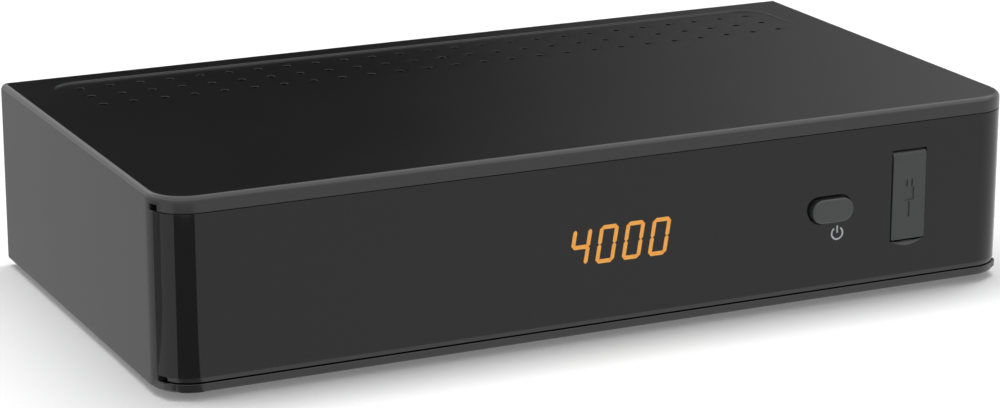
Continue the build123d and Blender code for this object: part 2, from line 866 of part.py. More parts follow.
# ------------------------------------------------------------ power switch
# Tactile switch on the front board: a moulded body, and the plunger that the stem pushes.
with BuildPart() as switch_body:
    with Locations((button_x, switch_face, button_z)):
        Box(switch_size, switch_depth, switch_size, align=behind)
    with BuildSketch(upright(switch_face)):
        with Locations((button_x, button_z)):
            RegularPolygon(plunger_radius + plunger_clearance, post_sides)
    extrude(amount=-(plunger_length - plunger_proud + 2 * button_travel), mode=Mode.SUBTRACT)
switch_body.part.label = "switch_body"
export_step(switch_body.part, "parts/switch_body.step")

with BuildPart() as switch_plunger:
    with BuildSketch(upright(plunger_tip)):
        with Locations((button_x, button_z)):
            RegularPolygon(plunger_radius, post_sides)
    extrude(amount=-plunger_length)
switch_plunger.part.label = "switch_plunger"
export_step(switch_plunger.part, "parts/switch_plunger.step")

# ------------------------------------------------------------ port flap
# Moulded door over the front USB socket. Its round top end turns on two pins of its own.
with BuildPart() as usb_flap:
    with BuildSketch(Plane.YZ.offset(flap_x)):
        with Locations((flap_face, flap_bottom)):
            Rectangle(flap_thickness, hinge_z - flap_bottom, align=(Align.MIN, Align.MIN))
        with Locations((hinge_y, hinge_z)):
            Circle(hinge_barrel_radius)
    extrude(amount=flap_width / 2, both=True)
    fillet(
        usb_flap.faces().sort_by(Axis.Z)[0].edges().sort_by(Axis.Y)[0],
        flap_edge_radius,
    )
    with BuildSketch(Plane.YZ.offset(flap_x)):
        with Locations((hinge_y, hinge_z)):
            Circle(hinge_pin_radius)
    extrude(amount=flap_width / 2 + hinge_pin_length, both=True)
usb_flap.part.label = "usb_flap"
export_step(usb_flap.part, "parts/usb_flap.step")

# ------------------------------------------------------------ front USB socket
# Upright type A socket: a folded steel shell, and the insulator with its tongue.
usb_mouth = pocket_floor + seam_gap
usb_inner_width = usb_width - 2 * usb_shell_wall
usb_inner_thickness = usb_thickness - 2 * usb_shell_wall
with BuildPart() as usb_shell:
    with Locations((flap_x, usb_mouth, flap_z)):
        Box(usb_thickness, front_board_face - usb_mouth, usb_width, align=behind)
        Box(
            usb_inner_thickness,
            front_board_face - usb_mouth,
            usb_inner_width,
            align=behind,
            mode=Mode.SUBTRACT,
        )
usb_shell.part.label = "usb_shell"
export_step(usb_shell.part, "parts/usb_shell.step")

with BuildPart() as usb_tongue:
    with Locations((flap_x, front_board_face, flap_z)):
        Box(usb_inner_thickness, usb_plug_length, usb_inner_width, align=in_front)
    with Locations((flap_x + usb_tongue_offset, front_board_face, flap_z)):
        Box(
            usb_tongue_thickness,
            front_board_face - usb_mouth - usb_tongue_setback,
            usb_tongue_width,
            align=in_front,
        )
usb_tongue.part.label = "usb_tongue"
export_step(usb_tongue.part, "parts/usb_tongue.step")

# ------------------------------------------------------------ front board
# Glass-fibre board across the bosses, behind the display, switch, receiver and USB socket.
with BuildPart() as front_board:
    with BuildSketch(upright(front_board_face)):
        with Locations((front_board_middle, (front_board_bottom + front_board_top) / 2)):
            Rectangle(front_board_right - front_board_left, front_board_top - front_board_bottom)
        with Locations(*front_boss_points):
            RegularPolygon(small_screw_radius + screw_clearance, screw_sides, mode=Mode.SUBTRACT)
    extrude(amount=-board_thickness)
front_board.part.label = "front_board"
export_step(front_board.part, "parts/front_board.step")

with BuildPart() as front_board_screws:
    with BuildSketch(upright(front_board_back)):
        with Locations(*front_boss_points):
            RegularPolygon(small_head_radius, post_sides)
    extrude(amount=-small_head_height)
    with BuildSketch(upright(front_board_back)):
        with Locations(*front_boss_points):
            RegularPolygon(small_screw_radius, screw_sides)
    extrude(amount=small_screw_length)
front_board_screws.part.label = "front_board_screws"
export_step(front_board_screws.part, "parts/front_board_screws.step")

# ------------------------------------------------------------ display
# Four-digit module right behind the thin part of the panel, on a moulded spacer frame.
with BuildPart() as display_module:
    with Locations((display_offset, display_face, display_z)):
        Box(display_width, display_depth, display_tall, align=behind)
display_module.part.label = "display_module"
export_step(display_module.part, "parts/display_module.step")

with BuildPart() as display_spacer:
    spacer_width = display_width - 2 * spacer_inset
    spacer_tall = display_tall - 2 * spacer_inset
    with BuildSketch(upright(display_back)):
        with Locations((display_offset, display_z)):
            Rectangle(spacer_width, spacer_tall)
            Rectangle(
                spacer_width - 2 * spacer_wall,
                spacer_tall - 2 * spacer_wall,
                mode=Mode.SUBTRACT,
            )
    extrude(amount=-(front_board_face - display_back))
display_spacer.part.label = "display_spacer"
export_step(display_spacer.part, "parts/display_spacer.step")

# ------------------------------------------------------------ infrared receiver
# Receiver with a rounded lens behind the panel, raised from the board by a moulded holder.
with BuildPart() as infrared_receiver:
    with Locations((receiver_offset, receiver_face, receiver_z)):
        Box(receiver_width, receiver_depth, receiver_tall, align=behind)
    lens_axis_y = receiver_face - receiver_lens_proud + receiver_lens_radius
    with Locations((receiver_offset, lens_axis_y, receiver_z)):
        Cylinder(receiver_lens_radius, receiver_lens_height)
infrared_receiver.part.label = "infrared_receiver"
export_step(infrared_receiver.part, "parts/infrared_receiver.step")

with BuildPart() as receiver_holder:
    with BuildSketch(upright(receiver_back)):
        with Locations((receiver_offset, receiver_z)):
            Rectangle(receiver_width, receiver_tall)
            Rectangle(
                receiver_width - 2 * holder_wall,
                receiver_tall - 2 * holder_wall,
                mode=Mode.SUBTRACT,
            )
    extrude(amount=-(front_board_face - receiver_back))
receiver_holder.part.label = "receiver_holder"
export_step(receiver_holder.part, "parts/receiver_holder.step")

# ------------------------------------------------------------ main board
# Glass-fibre board on the base plate's posts, with its four screws.
with BuildPart() as main_board:
    with BuildSketch(Plane.XY.offset(main_board_underside)):
        with Locations((0, (main_board_front + main_board_rear) / 2)):
            Rectangle(2 * main_board_half, main_board_rear - main_board_front)
        with Locations(*main_screw_points):
            RegularPolygon(small_screw_radius + screw_clearance, screw_sides, mode=Mode.SUBTRACT)
    extrude(amount=board_thickness)
main_board.part.label = "main_board"
export_step(main_board.part, "parts/main_board.step")

with BuildPart() as main_board_screws:
    with BuildSketch(Plane.XY.offset(main_board_top)):
        with Locations(*main_screw_points):
            RegularPolygon(small_head_radius, post_sides)
    extrude(amount=small_head_height)
    with BuildSketch(Plane.XY.offset(main_board_top)):
        with Locations(*main_screw_points):
            RegularPolygon(small_screw_radius, screw_sides)
    extrude(amount=-small_screw_length)
main_board_screws.part.label = "main_board_screws"
export_step(main_board_screws.part, "parts/main_board_screws.step")

# ------------------------------------------------------------ ribbon cable
# Flat cable from the front board's header, in one bend down into the main board's header.
with BuildPart() as ribbon_headers:
    with Locations((ribbon_x, front_board_back, header_z)):
        Box(header_width, header_depth, header_tall, align=behind)
    with Locations((ribbon_x, main_header_y, main_board_top)):
        Box(header_width, header_tall, header_depth, align=on_floor)
ribbon_headers.part.label = "ribbon_headers"
export_step(ribbon_headers.part, "parts/ribbon_headers.step")

with BuildPart() as ribbon_cable:
    with BuildSketch(Plane.YZ.offset(ribbon_x)):
        with BuildLine():
            FilletPolyline(
                (front_board_back + header_depth, header_z),
                (main_header_y, header_z),
                (main_header_y, main_board_top + header_depth),
                radius=ribbon_bend,
            )
        trace(line_width=ribbon_thickness)
    extrude(amount=ribbon_width / 2, both=True)
ribbon_cable.part.label = "ribbon_cable"
export_step(ribbon_cable.part, "parts/ribbon_cable.step")

# ------------------------------------------------------------ rear panel
# Black sheet steel that stands in the cover's rear grooves, cut out round each connector.
with BuildPart() as rear_panel:
    with BuildSketch(upright(rear_panel_inner)):
        with Locations((0, (base_top + roof_underside - seam_gap) / 2)):
            Rectangle(
                case_width - 2 * (cover_wall + seam_gap),
                roof_underside - seam_gap - base_top,
            )
        with Locations((lnb_input_x, f_axis_z), (lnb_output_x, f_axis_z)):
            Circle(f_radius + cutout_gap, mode=Mode.SUBTRACT)
        with Locations((audio_x, audio_z)):
            Circle(audio_neck_radius + cutout_gap, mode=Mode.SUBTRACT)
        with Locations((hdmi_x, hdmi_z)):
            Rectangle(hdmi_width + 2 * cutout_gap, hdmi_tall + 2 * cutout_gap, mode=Mode.SUBTRACT)
        with Locations((ethernet_x, ethernet_z)):
            Rectangle(
                ethernet_width + 2 * cutout_gap,
                ethernet_tall + 2 * cutout_gap,
                mode=Mode.SUBTRACT,
            )
        with Locations((power_x, power_z)):
            Rectangle(
                power_body_width + 2 * cutout_gap,
                power_body_tall + 2 * cutout_gap,
                mode=Mode.SUBTRACT,
            )
        with Locations((scart_x, scart_z)):
            Rectangle(
                scart_nose_width + 2 * cutout_gap,
                scart_nose_tall + 2 * cutout_gap,
                mode=Mode.SUBTRACT,
            )
    extrude(amount=-rear_panel_thickness)
rear_panel.part.label = "rear_panel"
export_step(rear_panel.part, "parts/rear_panel.step")

# ------------------------------------------------------------ tuner
# Tinned screening can, open to the board, with a lid whose sprung skirts grip its sides.
with BuildPart() as tuner_can:
    with Locations((tuner_x, tuner_y, main_board_top)):
        Box(tuner_width, tuner_depth, tuner_height, align=on_floor)
        Box(
            tuner_width - 2 * can_wall,
            tuner_depth - 2 * can_wall,
            tuner_height,
            align=on_floor,
            mode=Mode.SUBTRACT,
        )
tuner_can.part.label = "tuner_can"
export_step(tuner_can.part, "parts/tuner_can.step")

with BuildPart() as tuner_lid:
    tuner_top = main_board_top + tuner_height
    with Locations((tuner_x, tuner_y, tuner_top)):
        Box(tuner_width + 2 * lid_thickness, tuner_depth, lid_thickness, align=on_floor)
    skirt_x = (tuner_width + lid_thickness) / 2
    with Locations((tuner_x - skirt_x, tuner_y, tuner_top), (tuner_x + skirt_x, tuner_y, tuner_top)):
        Box(lid_thickness, tuner_depth, lid_skirt, align=hung)
    with Locations((tuner_x, tuner_y, tuner_top)):
        with GridLocations(1, lid_finger_pitch, 1, 4):
            Box(
                tuner_width + 4 * lid_thickness,
                lid_finger_slot,
                lid_skirt,
                align=hung,
                mode=Mode.SUBTRACT,
            )
tuner_lid.part.label = "tuner_lid"
export_step(tuner_lid.part, "parts/tuner_lid.step")

# ------------------------------------------------------------ F connectors
# Satellite input and loop-through: plated sleeve on a square base, insulator, and panel nut.
for connector_name, connector_x in (("lnb_input", lnb_input_x), ("lnb_output", lnb_output_x)):
    with BuildPart() as f_connector:
        with BuildSketch(upright(f_base_front)):
            with Locations((connector_x, f_axis_z)):
                Rectangle(f_base_size, f_base_size)
        extrude(amount=-f_base_thickness)
        with BuildSketch(upright(f_base_face)):
            with Locations((connector_x, f_axis_z)):
                RegularPolygon(f_neck_radius, post_sides)
        extrude(amount=-(rear_panel_outer + f_nut_thickness - f_base_face))
        with BuildSketch(upright(rear_panel_outer + f_nut_thickness)):
            with Locations((connector_x, f_axis_z)):
                Circle(f_radius)
        extrude(amount=-(f_reach - f_nut_thickness))
        with BuildSketch(upright(f_base_front)):
            with Locations((connector_x, f_axis_z)):
                Circle(f_bore_radius)
        extrude(amount=-(f_end - f_base_front), mode=Mode.SUBTRACT)
    f_connector.part.label = f"{connector_name}_connector"
    export_step(f_connector.part, f"parts/{connector_name}_connector.step")

with BuildPart() as f_insulators:
    with BuildSketch(upright(f_base_front)):
        with Locations((lnb_input_x, f_axis_z), (lnb_output_x, f_axis_z)):
            RegularPolygon(f_bore_radius - core_clearance, round_sides)
            RegularPolygon(f_contact_radius, screw_sides, mode=Mode.SUBTRACT)
    extrude(amount=-(f_end - f_mouth_depth - f_base_front))
f_insulators.part.label = "f_insulators"
export_step(f_insulators.part, "parts/f_insulators.step")

with BuildPart() as f_nuts:
    with BuildSketch(upright(rear_panel_outer)):
        with Locations((lnb_input_x, f_axis_z), (lnb_output_x, f_axis_z)):
            RegularPolygon(f_nut_across / 2, 6, major_radius=False)
            RegularPolygon(f_neck_radius + screw_clearance, post_sides, mode=Mode.SUBTRACT)
    extrude(amount=-f_nut_thickness)
f_nuts.part.label = "f_nuts"
export_step(f_nuts.part, "parts/f_nuts.step")

# ------------------------------------------------------------ SCART socket
# Moulded block behind the panel, with a nose through it, the plug's groove and two rows of slots.
with BuildPart() as scart_socket:
    scart_front = rear_panel_inner - seam_gap - scart_depth
    with BuildSketch(upright(scart_front)):
        with Locations((scart_x, scart_z)):
            Rectangle(scart_width, scart_tall)
    extrude(amount=-scart_depth)
    with BuildSketch(Plane((scart_x, socket_face, scart_z), x_dir=(1, 0, 0), z_dir=(0, -1, 0))):
        scart_outline()
    extrude(amount=scart_depth / 2)
    with BuildSketch(Plane((scart_x, socket_face, scart_z), x_dir=(1, 0, 0), z_dir=(0, -1, 0))):
        scart_outline()
        offset(amount=-scart_groove_inset, kind=Kind.INTERSECTION)
        groove_outer = scart_nose_width - 2 * (scart_groove_inset + scart_groove_width)
        groove_tall = scart_nose_tall - 2 * (scart_groove_inset + scart_groove_width)
        Rectangle(groove_outer - scart_slant, groove_tall, mode=Mode.SUBTRACT)
    extrude(amount=scart_groove_depth, mode=Mode.SUBTRACT)
    with BuildSketch(Plane((scart_x, socket_face, scart_z), x_dir=(1, 0, 0), z_dir=(0, -1, 0))):
        with GridLocations(scart_pitch, scart_row_spacing, scart_slots_per_row, 2):
            Rectangle(scart_slot_width, scart_slot_tall)
    extrude(amount=scart_groove_depth, mode=Mode.SUBTRACT)
scart_socket.part.label = "scart_socket"
export_step(scart_socket.part, "parts/scart_socket.step")

# ------------------------------------------------------------ HDMI socket
with BuildPart() as hdmi_shell:
    with BuildSketch(Plane((hdmi_x, socket_face, hdmi_z), x_dir=(1, 0, 0), z_dir=(0, -1, 0))):
        hdmi_outline()
    extrude(amount=hdmi_depth)
    with BuildSketch(Plane((hdmi_x, socket_face, hdmi_z), x_dir=(1, 0, 0), z_dir=(0, -1, 0))):
        hdmi_outline()
        offset(amount=-hdmi_wall, kind=Kind.INTERSECTION)
    extrude(amount=hdmi_depth, mode=Mode.SUBTRACT)
hdmi_shell.part.label = "hdmi_shell"
export_step(hdmi_shell.part, "parts/hdmi_shell.step")

with BuildPart() as hdmi_tongue:
    hdmi_plug_face = socket_face - hdmi_depth + hdmi_plug_length
    with BuildSketch(Plane((hdmi_x, hdmi_plug_face, hdmi_z), x_dir=(1, 0, 0), z_dir=(0, -1, 0))):
        hdmi_outline()
        offset(amount=-hdmi_wall, kind=Kind.INTERSECTION)
    extrude(amount=hdmi_plug_length)
    with Locations((hdmi_x, hdmi_plug_face, hdmi_z)):
        Box(
            hdmi_tongue_width,
            hdmi_depth - hdmi_plug_length - usb_tongue_setback,
            hdmi_tongue_thickness,
            align=behind,
        )
hdmi_tongue.part.label = "hdmi_tongue"
export_step(hdmi_tongue.part, "parts/hdmi_tongue.step")

# ------------------------------------------------------------ coaxial audio socket
# Phono socket: moulded body on the board, insulator core, and the plated ring round it.
audio_face = rear_panel_inner - seam_gap
with BuildPart() as audio_socket:
    with BuildSketch(upright(audio_face)):
        with Locations((audio_x, audio_z)):
            Rectangle(audio_body_width, audio_body_tall)
    extrude(amount=audio_body_depth)
    with BuildSketch(upright(audio_face)):
        with Locations((audio_x, audio_z)):
            RegularPolygon(audio_ring_radius - audio_ring_wall - core_clearance, round_sides)
            RegularPolygon(audio_pin_radius, post_sides, mode=Mode.SUBTRACT)
    extrude(amount=-(rear_panel_outer + audio_reach - audio_face))
audio_socket.part.label = "audio_socket"
export_step(audio_socket.part, "parts/audio_socket.step")

with BuildPart() as audio_ring:
    with BuildSketch(upright(rear_panel_outer)):
        with Locations((audio_x, audio_z)):
            Circle(audio_ring_radius)
    extrude(amount=-audio_reach)
    with BuildSketch(upright(audio_face)):
        with Locations((audio_x, audio_z)):
            Circle(audio_neck_radius)
    extrude(amount=-(rear_panel_outer - audio_face))
    with BuildSketch(upright(audio_face)):
        with Locations((audio_x, audio_z)):
            Circle(audio_ring_radius - audio_ring_wall)
    extrude(amount=-(rear_panel_outer + audio_reach - audio_face), mode=Mode.SUBTRACT)
audio_ring.part.label = "audio_ring"
export_step(audio_ring.part, "parts/audio_ring.step")

# ------------------------------------------------------------ Ethernet socket
# Steel shield round a moulded jack, with the latch step above its mouth.
with BuildPart() as ethernet_shield:
    with BuildSketch(upright(socket_face - ethernet_depth)):
        with Locations((ethernet_x, ethernet_z)):
            Rectangle(ethernet_width, ethernet_tall)
            Rectangle(
                ethernet_width - 2 * ethernet_wall,
                ethernet_tall - 2 * ethernet_wall,
                mode=Mode.SUBTRACT,
            )
    extrude(amount=-ethernet_depth)
ethernet_shield.part.label = "ethernet_shield"
export_step(ethernet_shield.part, "parts/ethernet_shield.step")

with BuildPart() as ethernet_jack:
    with BuildSketch(upright(socket_face - ethernet_depth)):
        with Locations((ethernet_x, ethernet_z)):
            Rectangle(ethernet_width - 2 * ethernet_wall, ethernet_tall - 2 * ethernet_wall)
    extrude(amount=-ethernet_depth)
    with BuildSketch(upright(socket_face)):
        with Locations((ethernet_x, ethernet_z - ethernet_latch_tall / 2)):
            Rectangle(ethernet_mouth_width, ethernet_mouth_tall)
        with Locations((ethernet_x, ethernet_z + ethernet_mouth_tall / 2)):
            Rectangle(ethernet_latch_width, ethernet_latch_tall)
    extrude(amount=ethernet_mouth_depth, mode=Mode.SUBTRACT)
ethernet_jack.part.label = "ethernet_jack"
export_step(ethernet_jack.part, "parts/ethernet_jack.step")

# ------------------------------------------------------------ DC power socket
with BuildPart() as power_socket:
    with BuildSketch(upright(socket_face)):
        with Locations((power_x, power_z)):
            Rectangle(power_body_width, power_body_tall)
    extrude(amount=power_body_depth)
    with BuildSketch(upright(socket_face)):
        with Locations((power_x, power_z)):
            Circle(power_bore_radius)
    extrude(amount=power_bore_depth, mode=Mode.SUBTRACT)
power_socket.part.label = "power_socket"
export_step(power_socket.part, "parts/power_socket.step")

with BuildPart() as power_pin:
    with BuildSketch(upright(socket_face - power_bore_depth)):
        with Locations((power_x, power_z)):
            RegularPolygon(power_pin_radius, round_sides)
    extrude(amount=-(power_bore_depth - usb_tongue_setback))
power_pin.part.label = "power_pin"
export_step(power_pin.part, "parts/power_pin.step")

# ------------------------------------------------------------ processor and heatsink
with BuildPart() as main_processor:
    with Locations((processor_x, processor_y, main_board_top)):
        Box(processor_size, processor_size, processor_base, align=on_floor)
        Box(processor_cap_size, processor_cap_size, processor_base + processor_cap, align=on_floor)
    chamfer(main_processor.faces().sort_by(Axis.Z)[-1].edges(), chip_chamfer)
main_processor.part.label = "main_processor"
export_step(main_processor.part, "parts/main_processor.step")

with BuildPart() as heatsink:
    sink_floor = main_board_top + processor_base + processor_cap
    with Locations((processor_x, processor_y, sink_floor)):
        Box(sink_size, sink_size, sink_base, align=on_floor)
        fin_pitch = (sink_size - sink_fin_thickness) / (sink_fins - 1)
        with GridLocations(fin_pitch, 1, sink_fins, 1):
            Box(sink_fin_thickness, sink_size, sink_height, align=on_floor)
heatsink.part.label = "heatsink"
export_step(heatsink.part, "parts/heatsink.step")

# ------------------------------------------------------------ chips and passive parts
with BuildPart() as memory_chips:
    with Locations((memory_side_inset - main_board_half, processor_y, main_board_top)):
        with GridLocations(1, memory_pitch, 1, 2):
            Box(memory_width, memory_length, chip_thickness, align=on_floor)
    chamfer(memory_chips.edges().group_by(Axis.Z)[-1], chip_chamfer)
memory_chips.part.label = "memory_chips"
export_step(memory_chips.part, "parts/memory_chips.step")

with BuildPart() as flash_chip:
    with Locations((flash_side_inset - main_board_half, processor_y, main_board_top)):
        Box(flash_width, flash_length, chip_thickness, align=on_floor)
    chamfer(flash_chip.edges().group_by(Axis.Z)[-1], chip_chamfer)
flash_chip.part.label = "flash_chip"
export_step(flash_chip.part, "parts/flash_chip.step")

with BuildPart() as capacitors:
    with BuildSketch(Plane.XY.offset(main_board_top)):
        with Locations((capacitor_side_inset - main_board_half, power_parts_y)):
            with GridLocations(1, capacitor_pitch, 1, capacitor_count):
                RegularPolygon(capacitor_radius, post_sides)
    extrude(amount=capacitor_height)
    chamfer(capacitors.edges().group_by(Axis.Z)[-1], capacitor_edge)
capacitors.part.label = "capacitors"
export_step(capacitors.part, "parts/capacitors.step")

with BuildPart() as inductors:
    with Locations((inductor_side_inset - main_board_half, power_parts_y, main_board_top)):
        with GridLocations(1, inductor_pitch, 1, inductor_count):
            Box(inductor_size, inductor_size, inductor_height, align=on_floor)
    chamfer(inductors.edges().filter_by(Axis.Z), inductor_size / 5)
inductors.part.label = "inductors"
export_step(inductors.part, "parts/inductors.step")

with BuildPart() as crystal:
    with Locations((crystal_side_inset - main_board_half, processor_y, main_board_top)):
        Box(crystal_depth, crystal_width, crystal_height, align=on_floor)
    chamfer(crystal.edges().filter_by(Axis.Z), crystal_depth / 4)
crystal.part.label = "crystal"
export_step(crystal.part, "parts/crystal.step")

# ------------------------------------------------------------ smart-card reader
# Moulded frame against the right side, with a channel for the card and eight sprung contacts.
with BuildPart() as card_reader:
    with Locations((reader_x, reader_y, main_board_top)):
        Box(reader_length, reader_depth, reader_height, align=on_floor)
    with Locations((reader_mouth, reader_y, card_z)):
        Box(
            reader_length - card_stop,
            card_width,
            card_channel,
            align=(Align.MAX, Align.CENTER, Align.CENTER),
            mode=Mode.SUBTRACT,
        )
    with Locations((reader_x, reader_y, card_z)):
        Box(
            reader_length / 2,
            card_width / 2,
            reader_height,
            align=on_floor,
            mode=Mode.SUBTRACT,
        )
card_reader.part.label = "card_reader"
export_step(card_reader.part, "parts/card_reader.step")

with BuildPart() as card_contacts:
    contact_seat = main_board_top + card_channel_level
    with Locations((reader_x, reader_y, contact_seat)):
        with GridLocations(contact_row_spacing, contact_pitch, 2, 4):
            Box(contact_length, contact_width, contact_rise, align=on_floor)
card_contacts.part.label = "card_contacts"
export_step(card_contacts.part, "parts/card_contacts.step")
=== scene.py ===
import math

import bmesh
import bpy
from mathutils import Matrix, Vector


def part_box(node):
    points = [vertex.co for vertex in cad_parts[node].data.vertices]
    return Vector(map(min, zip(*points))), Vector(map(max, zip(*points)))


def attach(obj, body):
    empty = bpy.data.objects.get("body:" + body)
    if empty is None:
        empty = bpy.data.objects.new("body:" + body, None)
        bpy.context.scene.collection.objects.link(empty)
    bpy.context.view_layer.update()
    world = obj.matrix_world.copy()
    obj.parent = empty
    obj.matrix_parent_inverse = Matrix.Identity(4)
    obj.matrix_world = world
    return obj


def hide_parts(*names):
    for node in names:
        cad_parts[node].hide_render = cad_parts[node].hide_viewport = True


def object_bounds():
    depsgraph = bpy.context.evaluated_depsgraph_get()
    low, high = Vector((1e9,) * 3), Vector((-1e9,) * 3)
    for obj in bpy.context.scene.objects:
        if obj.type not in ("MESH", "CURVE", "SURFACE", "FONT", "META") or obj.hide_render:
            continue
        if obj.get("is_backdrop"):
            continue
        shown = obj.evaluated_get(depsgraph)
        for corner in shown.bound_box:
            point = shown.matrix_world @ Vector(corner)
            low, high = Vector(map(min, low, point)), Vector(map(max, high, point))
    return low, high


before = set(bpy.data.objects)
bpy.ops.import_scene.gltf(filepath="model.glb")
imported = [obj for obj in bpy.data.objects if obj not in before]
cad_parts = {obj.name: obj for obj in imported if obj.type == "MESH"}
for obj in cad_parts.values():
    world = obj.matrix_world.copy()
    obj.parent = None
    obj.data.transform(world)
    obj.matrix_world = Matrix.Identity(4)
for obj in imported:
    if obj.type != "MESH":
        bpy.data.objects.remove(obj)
cad_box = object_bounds()

# ---------------------------------------- camera
# A long lens looks down on the left front corner, so that the top, the front and the left side all show.
camera_turn = math.radians(25.34)  # to the right of straight ahead
camera_dip = math.radians(16.18)  # below the horizon
camera_data = bpy.data.cameras.new("camera")
camera_data.sensor_fit = "HORIZONTAL"
camera_data.sensor_width = 36.0
camera_data.lens = 116.3
camera = bpy.data.objects.new("camera", camera_data)
bpy.context.scene.collection.objects.link(camera)
sight = Vector(
    (
        math.sin(camera_turn) * math.cos(camera_dip),
        math.cos(camera_turn) * math.cos(camera_dip),
        -math.sin(camera_dip),
    )
)
camera.location = (-0.3295, -0.6977, 0.2401)
camera.rotation_euler = sight.to_track_quat("-Z", "Y").to_euler()
bpy.context.scene.camera = camera
bpy.context.scene.view_settings.view_transform = "Standard"

# ---------------------------------------- studio
# White table in a white room, lit by one softbox overhead that the receiver doesn't mirror. The other
# sheets are there for reflections alone, as is usual for shiny black goods: a dark card behind the table
# for the flat top, two grey cards on the table for the left side and the corner, and a white panel
# overhead that gives rounded edges a soft highlight.


def linear(code):
    """Turns an sRGB hex colour into the linear colour that a shader works with."""
    channels = [int(code[i : i + 2], 16) / 255 for i in (0, 2, 4)]
    return tuple(c / 12.92 if c <= 0.04045 else ((c + 0.055) / 1.055) ** 2.4 for c in channels) + (1.0,)


def add_node(tree, kind, inputs, **settings):
    """Adds one shader node. Each input gets a value, or a link from another node's output."""
    node = tree.nodes.new("ShaderNode" + kind)
    for name, value in settings.items():
        setattr(node, name, value)
    for name, value in inputs.items():
        if isinstance(value, bpy.types.NodeSocket):
            tree.links.new(value, node.inputs[name])
        else:
            node.inputs[name].default_value = value
    return node


def seen_directly(tree):
    """Gives 1 for a ray from the lens, a mirrored one or one through glass, and 0 for soft light."""
    path = add_node(tree, "LightPath", {}).outputs
    both = add_node(tree, "Math", {0: path["Is Camera Ray"], 1: path["Is Glossy Ray"]}, operation="MAXIMUM")
    through = path["Is Transmission Ray"]
    return add_node(tree, "Math", {0: both.outputs[0], 1: through}, operation="MAXIMUM").outputs[0]


world = bpy.data.worlds.new("white_room")
world.use_nodes = True
room_tree = world.node_tree
room_tree.nodes.clear()
room_light = add_node(room_tree, "Background", {"Color": linear("ffffff"), "Strength": 0.42})
room_seen = add_node(room_tree, "Background", {"Color": linear("ffffff"), "Strength": 1.0})
room = add_node(
    room_tree, "MixShader", {0: seen_directly(room_tree), 1: room_light.outputs[0], 2: room_seen.outputs[0]}
)
add_node(room_tree, "OutputWorld", {"Surface": room.outputs[0]})
bpy.context.scene.world = world


def empty_material(name):
    """Makes a material that has no nodes yet."""
    material = bpy.data.materials.new(name)
    material.use_nodes = True
    material.node_tree.nodes.clear()
    return material


def stage_sheet(name, corners, material):
    """Makes a flat four-cornered sheet for the studio."""
    bm = bmesh.new()
    bm.faces.new([bm.verts.new(corner) for corner in corners])
    mesh = bpy.data.meshes.new(name)
    bm.to_mesh(mesh)
    bm.free()
    mesh.materials.append(material)
    sheet = bpy.data.objects.new(name, mesh)
    bpy.context.scene.collection.objects.link(sheet)
    sheet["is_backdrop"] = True
    return sheet


def level_corners(left, front, right, back, height):
    """Gives the corners of a level sheet."""
    return [(left, front, height), (right, front, height), (right, back, height), (left, back, height)]


# matt white table: soft light falls on it and shows the shadow, and shiny surfaces mirror plain white
table_paint = empty_material("matt_white_table")
table_tree = table_paint.node_tree
table_matt = add_node(table_tree, "BsdfDiffuse", {"Color": linear("efefef")})
table_glow = add_node(table_tree, "Emission", {"Color": linear("ffffff"), "Strength": 0.15})
table_both = add_node(table_tree, "AddShader", {0: table_matt.outputs[0], 1: table_glow.outputs[0]})
table_look = add_node(
    table_tree,
    "MixShader",
    {0: seen_directly(table_tree), 1: table_matt.outputs[0], 2: table_both.outputs[0]},
)
table_mirrored = add_node(table_tree, "Emission", {"Color": linear("ffffff"), "Strength": 1.0})
mirror_ray = add_node(table_tree, "LightPath", {}).outputs["Is Glossy Ray"]
table_mix = add_node(
    table_tree, "MixShader", {0: mirror_ray, 1: table_look.outputs[0], 2: table_mirrored.outputs[0]}
)
add_node(table_tree, "OutputMaterial", {"Surface": table_mix.outputs[0]})
stage_sheet("table", level_corners(-5, -5, 5, 5, 0), table_paint)

# dark card upright behind the table, which thins out to nothing towards its right end
card_black = empty_material("black_card")
card_tree = card_black.node_tree
card_place = add_node(card_tree, "TexCoord", {}).outputs["Object"]
card_x = add_node(card_tree, "SeparateXYZ", {0: card_place}).outputs["X"]
card_fade = add_node(card_tree, "MapRange", {"Value": card_x, "From Min": 0.25, "From Max": 1.6})
card_dark = add_node(card_tree, "BsdfDiffuse", {"Color": linear("060606")})
card_clear = add_node(card_tree, "BsdfTransparent", {})
card_mix = add_node(
    card_tree, "MixShader", {0: card_fade.outputs[0], 1: card_dark.outputs[0], 2: card_clear.outputs[0]}
)
add_node(card_tree, "OutputMaterial", {"Surface": card_mix.outputs[0]})
card_left, card_right, card_y, card_low, card_high = 0.0, 1.4, 0.65, 0.02, 0.68
back_corners = [(x, card_y, card_low) for x in (card_left, card_right)]
back_corners += [(x, card_y, card_high) for x in (card_right, card_left)]
cards = [stage_sheet("back_card", back_corners, card_black)]

# grey cards on the table, one opening like a fan from under the left front corner and one along the left
# side, and the white panel overhead
card_lift = 0.0004
fan_point = Vector((-0.1005, -0.053, card_lift))
fan_length = 0.17
fan_edges = []
for heading, start in ((math.radians(2), 0.0), (math.radians(-53), 0.0095)):
    aim = Vector((math.sin(heading), -math.cos(heading), 0))
    near = fan_point + start * Vector((math.sin(heading * 0.7), -math.cos(heading * 0.7), 0))
    fan_edges.append((near, near + fan_length * aim))
for name, tone, strength, corners in (
    ("corner_card", "969696", 1.0, [*fan_edges[0], *reversed(fan_edges[1])]),
    ("side_card", "c4c4c4", 1.0, level_corners(-0.45, -0.05, -0.1, 0.5, card_lift)),
    ("overhead_panel", "ffffff", 1.65, level_corners(-2.2, -1.5, 1.8, 2.6, 1.2)),
):
    paper = empty_material(name + "_paper")
    glow = add_node(paper.node_tree, "Emission", {"Color": linear(tone), "Strength": strength})
    add_node(paper.node_tree, "OutputMaterial", {"Surface": glow.outputs[0]})
    cards.append(stage_sheet(name, corners, paper))
